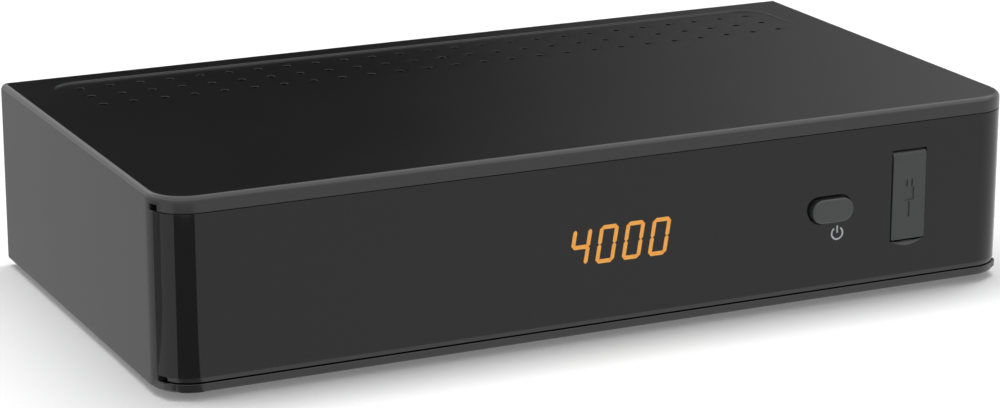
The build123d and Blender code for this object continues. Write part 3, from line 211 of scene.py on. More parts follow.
for card in cards:
    for shown in ("visible_camera", "visible_diffuse", "visible_transmission", "visible_shadow"):
        setattr(card, shown, False)

softbox_data = bpy.data.lights.new("softbox", "AREA")
softbox_data.shape = "RECTANGLE"
softbox_data.size = 1.6
softbox_data.size_y = 0.46
softbox_data.energy = 14.5
softbox = bpy.data.objects.new("softbox", softbox_data)
softbox.location = (0.15, 0.17, 1.25)
softbox_aim = Vector((0.15, 0, 0.02)) - softbox.location
softbox.rotation_euler = softbox_aim.to_track_quat("-Z", "Y").to_euler()
softbox.visible_glossy = False
bpy.context.scene.collection.objects.link(softbox)

# ---------------------------------------- top cover
# One moulding in black ABS: roof, sides, the bezel over the front panel and the thin rim under it.
# Its roof has a shallow sloped recess with three rows of vent holes; four pillars inside take the screws
# that come up through the base plate.


def start_material(name, colour, roughness, ior=1.5, metallic=0.0):
    """Makes a material with one shader, and returns the material, its nodes and the shader."""
    material = empty_material(name)
    tree = material.node_tree
    shader = add_node(
        tree,
        "BsdfPrincipled",
        {"Base Color": linear(colour), "Roughness": roughness, "IOR": ior, "Metallic": metallic},
    )
    add_node(tree, "OutputMaterial", {"Surface": shader.outputs[0]})
    return material, tree, shader


def set_input(tree, shader, name, source):
    """Links an output to one of the shader's inputs."""
    tree.links.new(source, shader.inputs[name])


def finish(
    name,
    tones,
    rough,
    grain,
    relief,
    ior=1.5,
    metallic=0.0,
    depth=0.1,
    drift=12.0,
    spread=0.07,
    details=(2.0, 3.0),
):
    """Makes a finish in one or two tones, with a fine grain and a slow drift of sheen and tone.

    The grain's size and depth and the drift's size are in millimetres.
    """
    material, tree, shader = start_material(name, tones[-1], rough, ior, metallic)
    place = add_node(tree, "TexCoord", {}).outputs["Object"]
    speck = add_node(tree, "TexNoise", {"Vector": place, "Scale": 1000 / grain, "Detail": details[0]})
    bumps = add_node(
        tree, "Bump", {"Height": speck.outputs[0], "Strength": relief, "Distance": depth / 1000}
    )
    set_input(tree, shader, "Normal", bumps.outputs[0])
    cloud = add_node(tree, "TexNoise", {"Vector": place, "Scale": 1000 / drift, "Detail": details[1]})
    sheen = add_node(
        tree, "MapRange", {"Value": cloud.outputs[0], "To Min": rough - spread, "To Max": rough + spread}
    )
    set_input(tree, shader, "Roughness", sheen.outputs[0])
    if len(tones) == 2:
        dark, light = [linear(tone) for tone in tones]
        tone = add_node(tree, "Mix", {0: cloud.outputs[0], 6: dark, 7: light}, data_type="RGBA")
        set_input(tree, shader, "Base Color", tone.outputs[2])
    return material


def block(bm, low, high):
    """Adds a box between two corners, in millimetres."""
    low, high = Vector(low), Vector(high)
    place = Matrix.Translation((low + high) / 2) @ Matrix.Diagonal((*(high - low), 1))
    return bmesh.ops.create_cube(bm, size=1, matrix=place)["verts"]


def blocks(*boxes):
    """Makes boxes, each given by its two corners in millimetres."""
    bm = bmesh.new()
    for low, high in boxes:
        block(bm, low, high)
    return bm


def rod(bm, radius, length, sides, place):
    """Adds a rod along the place's own Z, round or with a few flat sides."""
    bmesh.ops.create_cone(
        bm, cap_ends=True, segments=sides, radius1=radius, radius2=radius, depth=length, matrix=place
    )


def edges_where(bm, test):
    """Gives the edges whose two ends both pass a test."""
    return [e for e in bm.edges if all(test(v.co) for v in e.verts)]


def round_edges(bm, edges, radius, segments):
    """Rounds edges, or chamfers them when it gets one segment."""
    bmesh.ops.bevel(
        bm,
        geom=list(edges),
        offset=radius,
        offset_type="OFFSET",
        segments=segments,
        profile=0.5,
        affect="EDGES",
        material=-1,
        clamp_overlap=False,
    )


def slice_off(bm, point, direction):
    """Cuts away what lies beyond a plane, and closes the cut."""
    geom = bm.verts[:] + bm.edges[:] + bm.faces[:]
    bmesh.ops.bisect_plane(bm, geom=geom, plane_co=point, plane_no=direction, clear_outer=True)
    bmesh.ops.holes_fill(bm, edges=[e for e in bm.edges if e.is_boundary])


def housing_block(inset, low, high, back):
    """Makes a block with the housing's plan, moved in by inset, between two heights."""
    bm = bmesh.new()
    front = case_front + inset
    half = case_half - inset
    block(bm, (-half, front, low), (half, back, high))
    uprights = [e for e in bm.edges if abs(e.verts[0].co.z - e.verts[1].co.z) > 0.1]
    round_edges(bm, [e for e in uprights if e.verts[0].co.y < front + 0.1], front_corner - inset, 12)
    return bm


def turned(profile, middles, axis, steps):
    """Turns a profile as on a lathe, at each middle. Its points are distances from the axis and along it."""
    bm = bmesh.new()
    for middle in middles:
        spots = [Vector(middle) + Vector((r, 0, 0)) + Vector(axis) * along for r, along in profile]
        points = [bm.verts.new(spot) for spot in spots]
        lines = [bm.edges.new(pair) for pair in zip(points, points[1:])]
        bmesh.ops.spin(
            bm, geom=points + lines, cent=middle, axis=axis, angle=2 * math.pi, steps=steps, use_merge=True
        )
    return bm


def as_mesh(bm):
    """Ends a bmesh, with its seams closed and its faces outwards, and returns it as a mesh."""
    bmesh.ops.remove_doubles(bm, verts=bm.verts, dist=0.0005)
    bmesh.ops.recalc_face_normals(bm, faces=bm.faces)
    mesh = bpy.data.meshes.new("shape")
    bm.to_mesh(mesh)
    bm.free()
    return mesh


def combine(body_mesh, tool_bm, operation):
    """Cuts a closed shape from a mesh, or joins it on, and returns the new mesh."""
    body = bpy.data.objects.new("body", body_mesh)
    tool = bpy.data.objects.new("tool", as_mesh(tool_bm))
    for one in (body, tool):
        bpy.context.scene.collection.objects.link(one)
    step = body.modifiers.new("combine", "BOOLEAN")
    step.operation = operation
    step.solver = "EXACT"
    step.object = tool
    result = bpy.data.meshes.new_from_object(body.evaluated_get(bpy.context.evaluated_depsgraph_get()))
    for one in (body, tool):
        bpy.data.objects.remove(one)
    return result


def add_piece(
    name, mesh, material, stands_for=(), edge=0.0, edge_angle=50, sharp=35, body="receiver"
):
    """Turns a mesh in millimetres into a piece of the receiver, with small rounded edges."""
    mesh.transform(Matrix.Scale(0.001, 4))
    mesh.name = name
    mesh.materials.clear()
    mesh.materials.append(material)
    mesh.shade_smooth()
    mesh.set_sharp_from_angle(angle=math.radians(sharp))
    piece = bpy.data.objects.new(name, mesh)
    bpy.context.scene.collection.objects.link(piece)
    if edge:
        rounding = piece.modifiers.new("rounded_edges", "BEVEL")
        rounding.width = edge / 1000
        rounding.segments = 2
        rounding.limit_method = "ANGLE"
        rounding.angle_limit = math.radians(edge_angle)
        rounding.use_clamp_overlap = False
        rounding.harden_normals = True
        rounding.miter_outer = "MITER_ARC"
    # large flat faces keep their own direction where they run into a rounding
    shading = piece.modifiers.new("flat_faces", "WEIGHTED_NORMAL")
    shading.weight = 100
    shading.keep_sharp = True
    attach(piece, body)
    if stands_for:
        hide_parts(*stands_for)
    return piece


def corners_mm(node):
    """Lowest and highest corner of a CAD node, in millimetres."""
    return [corner * 1000 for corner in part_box(node)]


case_low, case_high = corners_mm("top_cover")
case_half = case_high.x
case_front, case_rear = case_low.y, case_high.y
front_corner = 9.5
cover_wall = 2.0
roof_wall = 2.4
window_low = case_low.z + 2.1
window_high = case_high.z - 3.75
window_end = case_front + 6.2
roof_rounding, sill_rounding, rear_rounding = 1.5, 0.6, 0.4

outer = housing_block(0, case_low.z, case_high.z, case_rear + 10)
round_edges(outer, edges_where(outer, lambda co: co.z > case_high.z - 0.01), roof_rounding, 6)
round_edges(outer, edges_where(outer, lambda co: co.z < case_low.z + 0.01), sill_rounding, 3)
# the mould parts at the rear face, so its edges are nearly sharp
slice_off(outer, (0, case_rear, 0), (0, 1, 0))
round_edges(outer, edges_where(outer, lambda co: co.y > case_rear - 0.01), rear_rounding, 2)
cover = as_mesh(outer)

cover_hollow = housing_block(cover_wall, case_low.z - 5, case_high.z - roof_wall, case_rear - 1.2)
cover = combine(cover, cover_hollow, "DIFFERENCE")

rim = housing_block(1.0, case_low.z + 0.6, window_low, case_front + 5.0)
cover = combine(cover, rim, "UNION")

# front window, rear opening, and the clearance notches above both ends of the front panel
front_window = ((-120, case_front - 8, window_low), (120, window_end, window_high))
rear_opening = ((-106.4, case_rear - 4, case_low.z - 5), (106.4, case_rear + 4, case_high.z - 4.0))
cover = combine(cover, blocks(front_window, rear_opening), "DIFFERENCE")
notch_spans = ((-114, -104), (104, 114))
notches = [
    ((left, window_end - 1.2, window_high - 0.02), (right, window_end + 1.2, window_high + 1.5))
    for left, right in notch_spans
]
cover = combine(cover, blocks(*notches), "DIFFERENCE")

# sloped recess in the roof, with leaning walls and round rear corners
recess_half = 100
recess_length = 31.0
recess_depth = 0.42
recess_rear = case_rear - 6.2
recess_front = recess_rear - recess_length
recess_slope = recess_depth / recess_length
recess = blocks(((-recess_half, recess_front, 0), (recess_half, recess_rear, 1)))
recess_uprights = [e for e in recess.edges if abs(e.verts[0].co.z - e.verts[1].co.z) > 0.5]
round_edges(recess, [e for e in recess_uprights if e.verts[0].co.y > recess_rear - 0.1], 7.0, 8)
for vertex in recess.verts:
    if vertex.co.z < 0.5:
        vertex.co.z = case_high.z + 0.012 - recess_slope * (vertex.co.y - recess_front)
    else:
        vertex.co.z = case_high.z + 0.6
        vertex.co.x *= (recess_half + 0.1) / recess_half
        vertex.co.y += 0.1 if vertex.co.y > recess_front + 1 else 0.0
cover = combine(cover, recess, "DIFFERENCE")

# the roof is thinner under the vents
thin_low = (-101.2, case_rear - 34.2, case_high.z - 4)
thin_high = (101.2, case_rear - 7.6, case_high.z - 1.8)
cover = combine(cover, blocks((thin_low, thin_high)), "DIFFERENCE")

# vents, square to the sloped floor: each a very shallow dish and a straight round throat
vent_rows, vent_columns = 3, 25
vent_pitch_x, vent_pitch_y = 7.79, 8.9
vent_dish = [(0, 1.2), (2.3, 1.2), (2.3, 0.02), (2.2, -0.01), (1.02, -0.05)]
vent_throat = [(0.96, -0.12), (0.94, -3.4), (0, -3.4)]
vent_axis = Vector((0, recess_slope, 1)).normalized()
vent_spots = [
    ((column - (vent_columns - 1) / 2) * vent_pitch_x, y, case_high.z - recess_slope * (y - recess_front))
    for y in [case_rear - 12.0 - vent_pitch_y * row for row in range(vent_rows)]
    for column in range(vent_columns)
]
cover = combine(cover, turned(vent_dish + vent_throat, vent_spots, vent_axis, 16), "DIFFERENCE")

# smart-card slot in the right side, with a funnel-shaped mouth
reader_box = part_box("card_reader")
slot_y = (reader_box[0].y + reader_box[1].y) * 500
slot_z = corners_mm("main_board")[1].z + 2.4
slot_near, slot_far = slot_y - 27.3, slot_y + 27.3
slot_floor, slot_roof = slot_z - 0.8, slot_z + 0.8
slot_flare = 1.2
card_slot = ((case_half - 6, slot_near, slot_floor), (case_half + 1, slot_far, slot_roof))
cover = combine(cover, blocks(card_slot), "DIFFERENCE")
slot_mouth = blocks(((case_half - 0.9, slot_near, slot_floor), (case_half + 0.3, slot_far, slot_roof)))
for vertex in slot_mouth.verts:
    if vertex.co.x > case_half:
        vertex.co.y += math.copysign(slot_flare, vertex.co.y - slot_y)
        vertex.co.z += math.copysign(slot_flare, vertex.co.z - slot_z)
cover = combine(cover, slot_mouth, "DIFFERENCE")

# screw pillars inside
pillar_spots = [(x, y) for x in (-98, 98) for y in (case_front + 15, case_rear - 14)]
pillar_foot, pillar_top = case_low.z + 4, case_high.z - roof_wall + 0.2
pillars = bmesh.new()
for x, y in pillar_spots:
    middle = Matrix.Translation((x, y, (pillar_foot + pillar_top) / 2))
    rod(pillars, 3.5, pillar_top - pillar_foot, 24, middle)
cover = combine(cover, pillars, "UNION")

# Satin moulded ABS: its fine spark-eroded grain spreads highlights. The real grain is 0.1 mm; it is
# drawn at 0.36 mm so that it shows, with a slow change of sheen from handling over some 30 mm.
satin_abs = finish(
    "satin_black_abs", ["151516"], 0.25, 0.357, 0.18, ior=1.6, depth=0.04, drift=30.3, spread=0.03
)
add_piece("cover_moulding", cover, satin_abs, ("top_cover",), edge=0.12)

# ---------------------------------------- front panel
# One moulding in glossy black ABS that wraps round both front corners, with a satin lower lip.
# It has an opening for the button, a pocket with a hinge for the port flap, and a fingernail scoop.
panel_low, panel_high = window_low + 0.27, window_high - 0.15
panel_end = window_end - 0.15
panel_wall = 2.2
lip_top = panel_low + 1.13

panel_bm = housing_block(0, panel_low, panel_high, panel_end + 4)
panel_sill = edges_where(panel_bm, lambda co: co.z < panel_low + 0.01)
round_edges(panel_bm, [e for e in panel_sill if min(v.co.y for v in e.verts) < panel_end + 3.9], 0.25, 1)
for vertex in panel_bm.verts:
    if panel_low + 0.1 < vertex.co.z < panel_low + 1.0:
        vertex.co.z = lip_top
panel = as_mesh(panel_bm)

panel_hollow = housing_block(panel_wall, panel_low - 5, panel_high + 5, panel_end + 9)
panel = combine(panel, panel_hollow, "DIFFERENCE")
panel_back = ((-120, panel_end, panel_low - 5), (120, panel_end + 20, panel_high + 5))
panel = combine(panel, blocks(panel_back), "DIFFERENCE")
panel_notches = [
    ((left, window_end - 2.4, panel_low - 1), (right, panel_end + 1, lip_top)) for left, right in notch_spans
]
panel = combine(panel, blocks(*panel_notches), "DIFFERENCE")

# the flap's pocket, its hinge ears, and the way through to the socket
flap_low, flap_high = corners_mm("usb_flap")
flap_x = (flap_low.x + flap_high.x) / 2
flap_bottom, flap_top = flap_low.z, flap_high.z
flap_half = 4.62
hinge_y, hinge_z = -61.2, 34.6
port_level = 25.05
pocket_front, pocket_back = case_front + 1.1, case_front + 4.3
for half, low, high in (
    (5.85, flap_bottom - 1.25, flap_top + 1.25),
    (7.45, hinge_z - 2.6, hinge_z + 2.6),
):
    wall = ((flap_x - half, pocket_front, low), (flap_x + half, pocket_back, high))
    panel = combine(panel, blocks(wall), "UNION")
for half, front, back, low, high in (
    (4.8, case_front - 4, case_front + 3.3, flap_bottom - 0.2, flap_top + 0.2),
    (3.1, case_front, case_front + 8, port_level - 6.8, port_level + 6.8),
):
    hollow = ((flap_x - half, front, low), (flap_x + half, back, high))
    panel = combine(panel, blocks(hollow), "DIFFERENCE")


def stadium(bm, x, z, width, tall, front, back, segments):
    """Adds an upright block with round ends, between two distances back."""
    ends = []
    for side in (-1, 1):
        for y in (front, back):
            spot = Matrix.Translation((x + side * (width - tall) / 2, y, z))
            spot = spot @ Matrix.Rotation(math.pi / 2, 4, "X")
            ends += bmesh.ops.create_circle(bm, segments=segments, radius=tall / 2, matrix=spot)["verts"]
    bmesh.ops.convex_hull(bm, input=ends)
    bmesh.ops.delete(bm, geom=list({v for v in ends if not v.link_faces}), context="VERTS")
    loose = [e for e in bm.edges if not e.link_faces]
    bmesh.ops.delete(bm, geom=loose, context="EDGES")
    bmesh.ops.dissolve_limit(bm, angle_limit=math.radians(1), verts=bm.verts, edges=bm.edges)


button_low, button_high = corners_mm("power_button")
button_x, button_z = (button_low.x + button_high.x) / 2, (button_low.z + button_high.z) / 2
button_face = button_low.y
button_hole = bmesh.new()
stadium(button_hole, button_x, button_z, 12.05, 6.8, case_front - 3, case_front + 8, 40)
panel = combine(panel, button_hole, "DIFFERENCE")

# fingernail scoop below the flap: a shallow dish with a slanted wall
scoop_top = flap_bottom - 0.25
scoop_drop = 1.3
scoop_radius = 8.44
scoop_slant = 0.8
scoop = bmesh.new()
scoop_place = Matrix.Translation((flap_x, case_front, scoop_top - scoop_drop + scoop_radius))
bmesh.ops.create_cone(
    scoop,
    cap_ends=True,
    segments=96,
    radius1=scoop_radius + scoop_slant,
    radius2=scoop_radius - scoop_slant,
    depth=1,
    matrix=scoop_place @ Matrix.Rotation(-math.pi / 2, 4, "X"),
)
slice_off(scoop, (0, 0, scoop_top + 0.05), (0, 0, 1))
panel = combine(panel, scoop, "DIFFERENCE")

# Glossy moulded ABS: a polished tool leaves it mirror-smooth, apart from the slight waviness of the
# moulding (some 7 mm long) and faint cleaning marks.
gloss_marks = {"drift": 16.7, "spread": 0.025, "details": (1.0, 5.0)}
gloss_abs = finish("gloss_black_abs", ["0a0a0b"], 0.065, 7.14, 0.05, ior=1.44, depth=0.2, **gloss_marks)
panel_piece = add_piece(
    "panel_moulding", panel, gloss_abs, ("front_panel",), edge=0.1, sharp=25
)
# the lip below the gloss and the scoop's wall keep the mould's satin finish
panel_piece.data.materials.append(satin_abs)
for face in panel_piece.data.polygons:
    spot = face.center * 1000
    on_lip = panel_low + 0.01 < spot.z < lip_top - 0.01 and abs(face.normal.z) < 0.5
    behind_face = case_front + 0.05 < spot.y < case_front + 0.45
    if on_lip or (behind_face and abs(spot.x - flap_x) < 6 and spot.z < scoop_top):
        face.material_index = 1

# ---------------------------------------- power button
# Oblong key in grey satin ABS, proud of the panel, with a soft edge all round its face.
# Behind the panel it has a flange that holds it in, and a stem that ends at the switch.
key = bmesh.new()
stadium(key, button_x, button_z, 11.35, 6.1, button_face, case_front + 2.3, 48)
round_edges(key, edges_where(key, lambda co: co.y < button_face + 0.01), 0.65, 5)
stem = 1.5
key_back = blocks(
    ((button_low.x, case_front + 2.3, button_low.z), (button_high.x, case_front + 3.1, button_high.z)),
    ((button_x - stem, case_front + 3.0, button_z - stem), (button_x + stem, button_high.y, button_z + stem)),
)
key_mesh = combine(as_mesh(key), key_back, "UNION")

# Grey satin ABS: finer grain than the cover (drawn at 0.3 mm), and fingers polish its middle a little.
key_touch = {"drift": 5.56, "spread": 0.04, "details": (2.0, 2.0)}
key_abs = finish("grey_key_abs", ["3a3b3c"], 0.22, 0.303, 0.08, ior=1.56, depth=0.04, **key_touch)
add_piece("power_key", key_mesh, key_abs, ("power_button",), edge=0.06, body="power_button")

# ---------------------------------------- port flap
# Grey moulded door over the front port. It turns on two pins near its top and has a plug symbol
# pressed into its face.
flap_face = flap_low.y
door = ((flap_x - flap_half, flap_face, flap_bottom), (flap_x + flap_half, flap_face + 1.8, hinge_z))
flap_bm = blocks(door)
round_edges(flap_bm, edges_where(flap_bm, lambda co: co.z < flap_bottom + 0.01), 0.4, 4)
flap_mesh = as_mesh(flap_bm)
hinge_line = Matrix.Translation((flap_x, hinge_y, hinge_z)) @ Matrix.Rotation(math.pi / 2, 4, "Y")
for radius, length, sides in ((1.6, 2 * flap_half, 32), (0.7, 2 * flap_half + 2.4, 24)):
    barrel = bmesh.new()
    rod(barrel, radius, length, sides, hinge_line)
    flap_mesh = combine(flap_mesh, barrel, "UNION")
# the plug symbol's lead, body and two blades
symbol_depth = 0.3
for left, low, right, high in (
    (-0.25, 19.6, 0.25, 23.4),
    (-1.35, 23.7, 1.35, 26.9),
    (-0.95, 27.2, -0.5, 28.9),
    (0.5, 27.2, 0.95, 28.9),
):
    groove = ((flap_x + left, flap_face - 1, low), (flap_x + right, flap_face + symbol_depth, high))
    flap_mesh = combine(flap_mesh, blocks(groove), "DIFFERENCE")

# Grey satin ABS of the flap: a little duller than the key, with grain drawn at 0.33 mm.
flap_sheen = {"drift": 8.33, "spread": 0.05, "details": (2.0, 2.0)}
flap_abs = finish("grey_flap_abs", ["393a3b"], 0.45, 0.333, 0.2, ior=1.53, depth=0.04, **flap_sheen)
add_piece("port_door", flap_mesh, flap_abs, ("usb_flap",), edge=0.08, body="usb_flap")

# ---------------------------------------- display digits
# Four amber seven-segment digits shine through the smoked panel. They lean to the right, as such
# digits do, and each lit bar has pointed ends.
digit_tall, digit_wide = 9.1, 4.85
digit_pitch = 6.87
first_digit_x = -8.2
digit_low = 18.7
bar = 1.0
bar_gap = 0.42
glow_thick = 0.03
lean = Matrix.Identity(4)
lean[0][2] = math.tan(math.radians(9))
segment_places = {
    "a": (0, 1, False),
    "g": (0, 0, False),
    "d": (0, -1, False),
    "f": (-1, 0.5, True),
    "b": (1, 0.5, True),
    "e": (-1, -0.5, True),
    "c": (1, -0.5, True),
}
digits = bmesh.new()
for place, lit in enumerate(("fgbc", "abcdef", "abcdef", "abcdef")):
    middle = (first_digit_x + digit_pitch * place, case_front - 0.012, digit_low + digit_tall / 2)
    for letter in lit:
        across, up, upright_bar = segment_places[letter]
        length = (digit_tall - bar) / 2 - bar_gap if upright_bar else digit_wide - bar - bar_gap
        shape = Matrix.Diagonal((length + bar * 0.5, glow_thick, bar, 1))
        verts = bmesh.ops.create_cube(digits, size=1, matrix=shape)["verts"]
        ends = {e for v in verts for e in v.link_edges if abs(e.verts[0].co.y - e.verts[1].co.y) > 0.01}
        before = set(digits.verts) - set(verts)
        round_edges(digits, ends, bar * 0.42, 1)
        made = [v for v in digits.verts if v not in before]
        turn = Matrix.Rotation(math.pi / 2, 4, "Y") if upright_bar else Matrix.Identity(4)
        x = across * (digit_wide - bar) / 2
        z = up * (digit_tall - bar) / 2
        bmesh.ops.transform(digits, verts=made, matrix=Matrix.Translation((x, 0, z)) @ turn)
        bmesh.ops.transform(digits, verts=made, matrix=Matrix.Translation(middle) @ lean)

# Amber light from a diffuser: nearly even, with a slight unevenness about 1 mm across.
amber, amber_tree, amber_shader = start_material("amber_digit", "f2a63a", 0.25)
amber_place = add_node(amber_tree, "TexCoord", {}).outputs["Object"]
amber_cloud = add_node(amber_tree, "TexNoise", {"Vector": amber_place, "Scale": 900.0, "Detail": 1.0})
amber_tone = add_node(
    amber_tree,
    "Mix",
    {0: amber_cloud.outputs[0], 6: linear("e8982e"), 7: linear("f2ad4c")},
    data_type="RGBA",
)
set_input(amber_tree, amber_shader, "Base Color", amber_tone.outputs[2])
set_input(amber_tree, amber_shader, "Emission Color", amber_tone.outputs[2])
amber_shader.inputs["Emission Strength"].default_value = 0.3
add_piece("lit_digits", as_mesh(digits), amber)

# ---------------------------------------- power symbol
# Silver ink printed on the panel beside the button: a broken ring with a stroke through its gap.
# The printing pad leaves a film of ink 0.02 mm thick on the gloss.
mark_x, mark_z, mark_radius, stroke = 60.6, 17.85, 1.5, 0.42
ink_front, ink_back = case_front - 0.02, case_front + 0.01
ring_gap = math.radians(70)
mark = bmesh.new()
inner, outside = mark_x + mark_radius - stroke / 2, mark_x + mark_radius + stroke / 2
section = [
    mark.verts.new((x, y, mark_z))
    for x, y in ((inner, ink_front), (outside, ink_front), (outside, ink_back), (inner, ink_back))
]
face = mark.faces.new(section)
ring_start = Matrix.Rotation(ring_gap / 2 - math.pi / 2, 3, "Y")
bmesh.ops.rotate(mark, verts=section, cent=(mark_x, 0, mark_z), matrix=ring_start)
bmesh.ops.spin(
    mark,
    geom=[face, *section, *face.edges],
    cent=(mark_x, 0, mark_z),
    axis=(0, 1, 0),
    angle=2 * math.pi - ring_gap,
    steps=40,
)
block(
    mark, (mark_x - stroke / 2, ink_front, mark_z + 0.1), (mark_x + stroke / 2, ink_back, mark_z + 1.9)
)

# Silver printing ink: flat pale grey with fine metal flakes.
silver_ink, ink_tree, ink_shader = start_material("silver_ink", "b9babc", 0.42, 1.5, 0.2)
ink_place = add_node(ink_tree, "TexCoord", {}).outputs["Object"]
ink_flake = add_node(ink_tree, "TexNoise", {"Vector": ink_place, "Scale": 5000.0, "Detail": 1.0})
ink_tone = add_node(
    ink_tree, "Mix", {0: ink_flake.outputs[0], 6: linear("a9aaad"), 7: linear("cdced0")}, data_type="RGBA"
)
set_input(ink_tree, ink_shader, "Base Color", ink_tone.outputs[2])
add_piece("power_mark", as_mesh(mark), silver_ink)

# ---------------------------------------- base plate
# Black ABS tray with a textured underside: cooling slots, posts for the main board, raised pads for the
# cover screws and round recesses for the feet. It closes the cover from below.


def coat(material, *nodes):
    """Gives carried-over CAD nodes their finish."""
    for node in nodes:
        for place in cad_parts[node].material_slots:
            place.material = material


# Textured ABS: the tool's etched grain is about 0.5 mm and leaves the underside dull.
textured_abs = finish("textured_black_abs", ["141415", "1e1e1f"], 0.55, 0.5, 0.3, ior=1.53)
coat(textured_abs, "base_plate")

# ---------------------------------------- rear panel
# Folded sheet of 1 mm steel, powder-coated black, with a punched cut-out for each socket. It stands in
# the cover's rear opening.


def dress_node(name, node, material, edge, edge_angle=50, body="receiver"):
    """Adds a piece that copies a CAD node's shape in whole faces, rounds its edges, and stands for it."""
    bm = bmesh.new()
    bm.from_mesh(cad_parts[node].data)
    bmesh.ops.scale(bm, vec=(1000, 1000, 1000), verts=bm.verts)
    bmesh.ops.remove_doubles(bm, verts=bm.verts, dist=0.002)
    bmesh.ops.dissolve_limit(bm, angle_limit=math.radians(1), verts=bm.verts, edges=bm.edges)
    add_piece(name, as_mesh(bm), material, (node,), edge, edge_angle, body=body)


# Powder coat on steel: melted powder flows out to an orange peel with bumps about 1 mm apart.
powder_steel = finish("powder_coated_steel", ["111112", "19191a"], 0.45, 1.0, 0.35)
dress_node("rear_sheet", "rear_panel", powder_steel, 0.1)

# ---------------------------------------- rubber feet
# Four moulded rubber pads glued into the base plate's recesses, each with a rounded edge and a ring
# that grips the table.
feet_low, feet_high = corners_mm("rubber_feet")
foot_radius = 6.0
foot_outside = [(0, 2.4), (6, 2.4), (6, 0.7), (5.8, 0.25), (5.35, 0)]
foot_hollow = [(3.5, 0), (3.15, 0.25), (2.9, 0.45), (0, 0.45)]
feet_x = (feet_low.x + foot_radius, feet_high.x - foot_radius)
feet_y = (feet_low.y + foot_radius, feet_high.y - foot_radius)
feet_spots = [(x, y, 0) for x in feet_x for y in feet_y]
feet = turned(foot_outside + foot_hollow, feet_spots, (0, 0, 1), 40)
# Moulded rubber: dull, with a bloom that pales it in patches and a skin like fine leather.
foot_rubber = finish("moulded_rubber", ["181818", "242424"], 0.78, 0.6, 0.4, ior=1.52, drift=5.0)
add_piece("grip_feet", as_mesh(feet), foot_rubber, ("rubber_feet",))

# ---------------------------------------- screws
# Pan-head self-tapping screws with a cross recess, in blackened steel: four join cover and base plate
# from below, four hold the front board to the panel, and four hold the main board to its posts.


def pan_screws(spots, axis, head_radius, head_tall, shank_radius, length):
    """Makes screws that point along the axis. Each spot is where a head's flat side meets the work."""
    axis = Vector(axis)
    profile = [
        (0, -head_tall),
        (0.5 * head_radius, -head_tall),
        (0.82 * head_radius, -0.82 * head_tall),
        (head_radius, -0.42 * head_tall),
        (head_radius, 0),
        (shank_radius, 0),
        (shank_radius, length - 0.9),
        (0.4 * shank_radius, length),
        (0, length),
    ]
    mesh = as_mesh(turned(profile, spots, axis, 24))
    arm_half = 0.13 * head_radius
    arm_depth = abs(0.55 * head_tall - arm_half)
    reach = Vector((0.52 * head_radius, arm_half, arm_half)) + arm_depth * Vector([abs(a) for a in axis])
    for turn in (0, 90):
        cross = bmesh.new()
        spin = Matrix.Rotation(math.radians(turn), 4, axis)
        for spot in spots:
            arms = block(cross, -reach, reach)
            middle = Vector(spot) - head_tall * axis
            bmesh.ops.transform(cross, verts=arms, matrix=Matrix.Translation(middle) @ spin)
        mesh = combine(mesh, cross, "DIFFERENCE")
    return mesh


# Blackened steel: a thin dark oxide over turned metal, glossy where the driver has rubbed it.
dark_steel = finish("blackened_steel", ["2c2c2e", "47474a"], 0.34, 0.25, 0.15, metallic=1.0, drift=1.5)
case_spots = [(x, y, 3.9) for x, y in pillar_spots]
front_spots = [(x, -43.9, z) for x in (-17, 68) for z in (11.8, 36.8)]
board_spots = [(-86, -30.5, 10.4), (-86, 13.65, 10.4), (43, -30.5, 10.4), (86, 33.5, 10.4)]
case_screw, board_screw = (2.8, 1.8, 1.45, 9.0), (2.4, 1.3, 1.2, 6.0)
for name, node, spots, axis, sizes, edge in (
    ("case_screws", "cover_screws", case_spots, (0, 0, 1), case_screw, 0.05),
    ("front_screws", "front_board_screws", front_spots, (0, -1, 0), board_screw, 0.04),
    ("board_screws", "main_board_screws", board_spots, (0, 0, -1), board_screw, 0.04),
):
    add_piece(name, pan_screws(spots, axis, *sizes), dark_steel, (node,), edge)

# ---------------------------------------- satellite connectors
# Two F connectors on the tuner: nickel-plated brass sleeves with a three-eighths inch thread, each on a
# square flange, with a hexagon nut against the rear panel and a white insulator round the contact.

# Nickel-plated brass: a bright warm-grey plate with fine turning marks and a little tarnish.
nickel = finish("nickel_plated_brass", ["a9a69c", "c9c6bd"], 0.2, 0.3, 0.08, metallic=1.0, drift=2.0)
thread_root, thread_crest, thread_pitch, thread_start = 4.42, 4.76, 0.794, 4.9
for name, node in (("satellite_input", "lnb_input_connector"), ("satellite_output", "lnb_output_connector")):
    low, high = corners_mm(node)
    foot = ((low.x + high.x) / 2, low.y, (low.z + high.z) / 2)
    reach = high.y - low.y
    thread = [(0, 0), (4.6, 0), (4.6, thread_start - 0.15), (thread_root, thread_start)]
    for ridge in range(11):
        start = thread_start + thread_pitch * ridge
        thread += [(thread_root, start), (thread_crest, start + 0.32)]
        thread += [(thread_crest, start + 0.45), (thread_root, start + 0.77)]
    thread += [(thread_root, reach - 0.55), (4.1, reach), (0, reach)]
    sleeve = as_mesh(turned(thread, [foot], (0, 1, 0), 40))
    flange = ((foot[0] - 6, low.y, foot[2] - 6), (foot[0] + 6, low.y + 1.5, foot[2] + 6))
    sleeve = combine(sleeve, blocks(flange), "UNION")
    bore = turned([(0, -1), (3.6, -1), (3.6, reach + 1), (0, reach + 1)], [foot], (0, 1, 0), 40)
    sleeve = combine(sleeve, bore, "DIFFERENCE")
    add_piece(name, sleeve, nickel, (node,), 0.06)

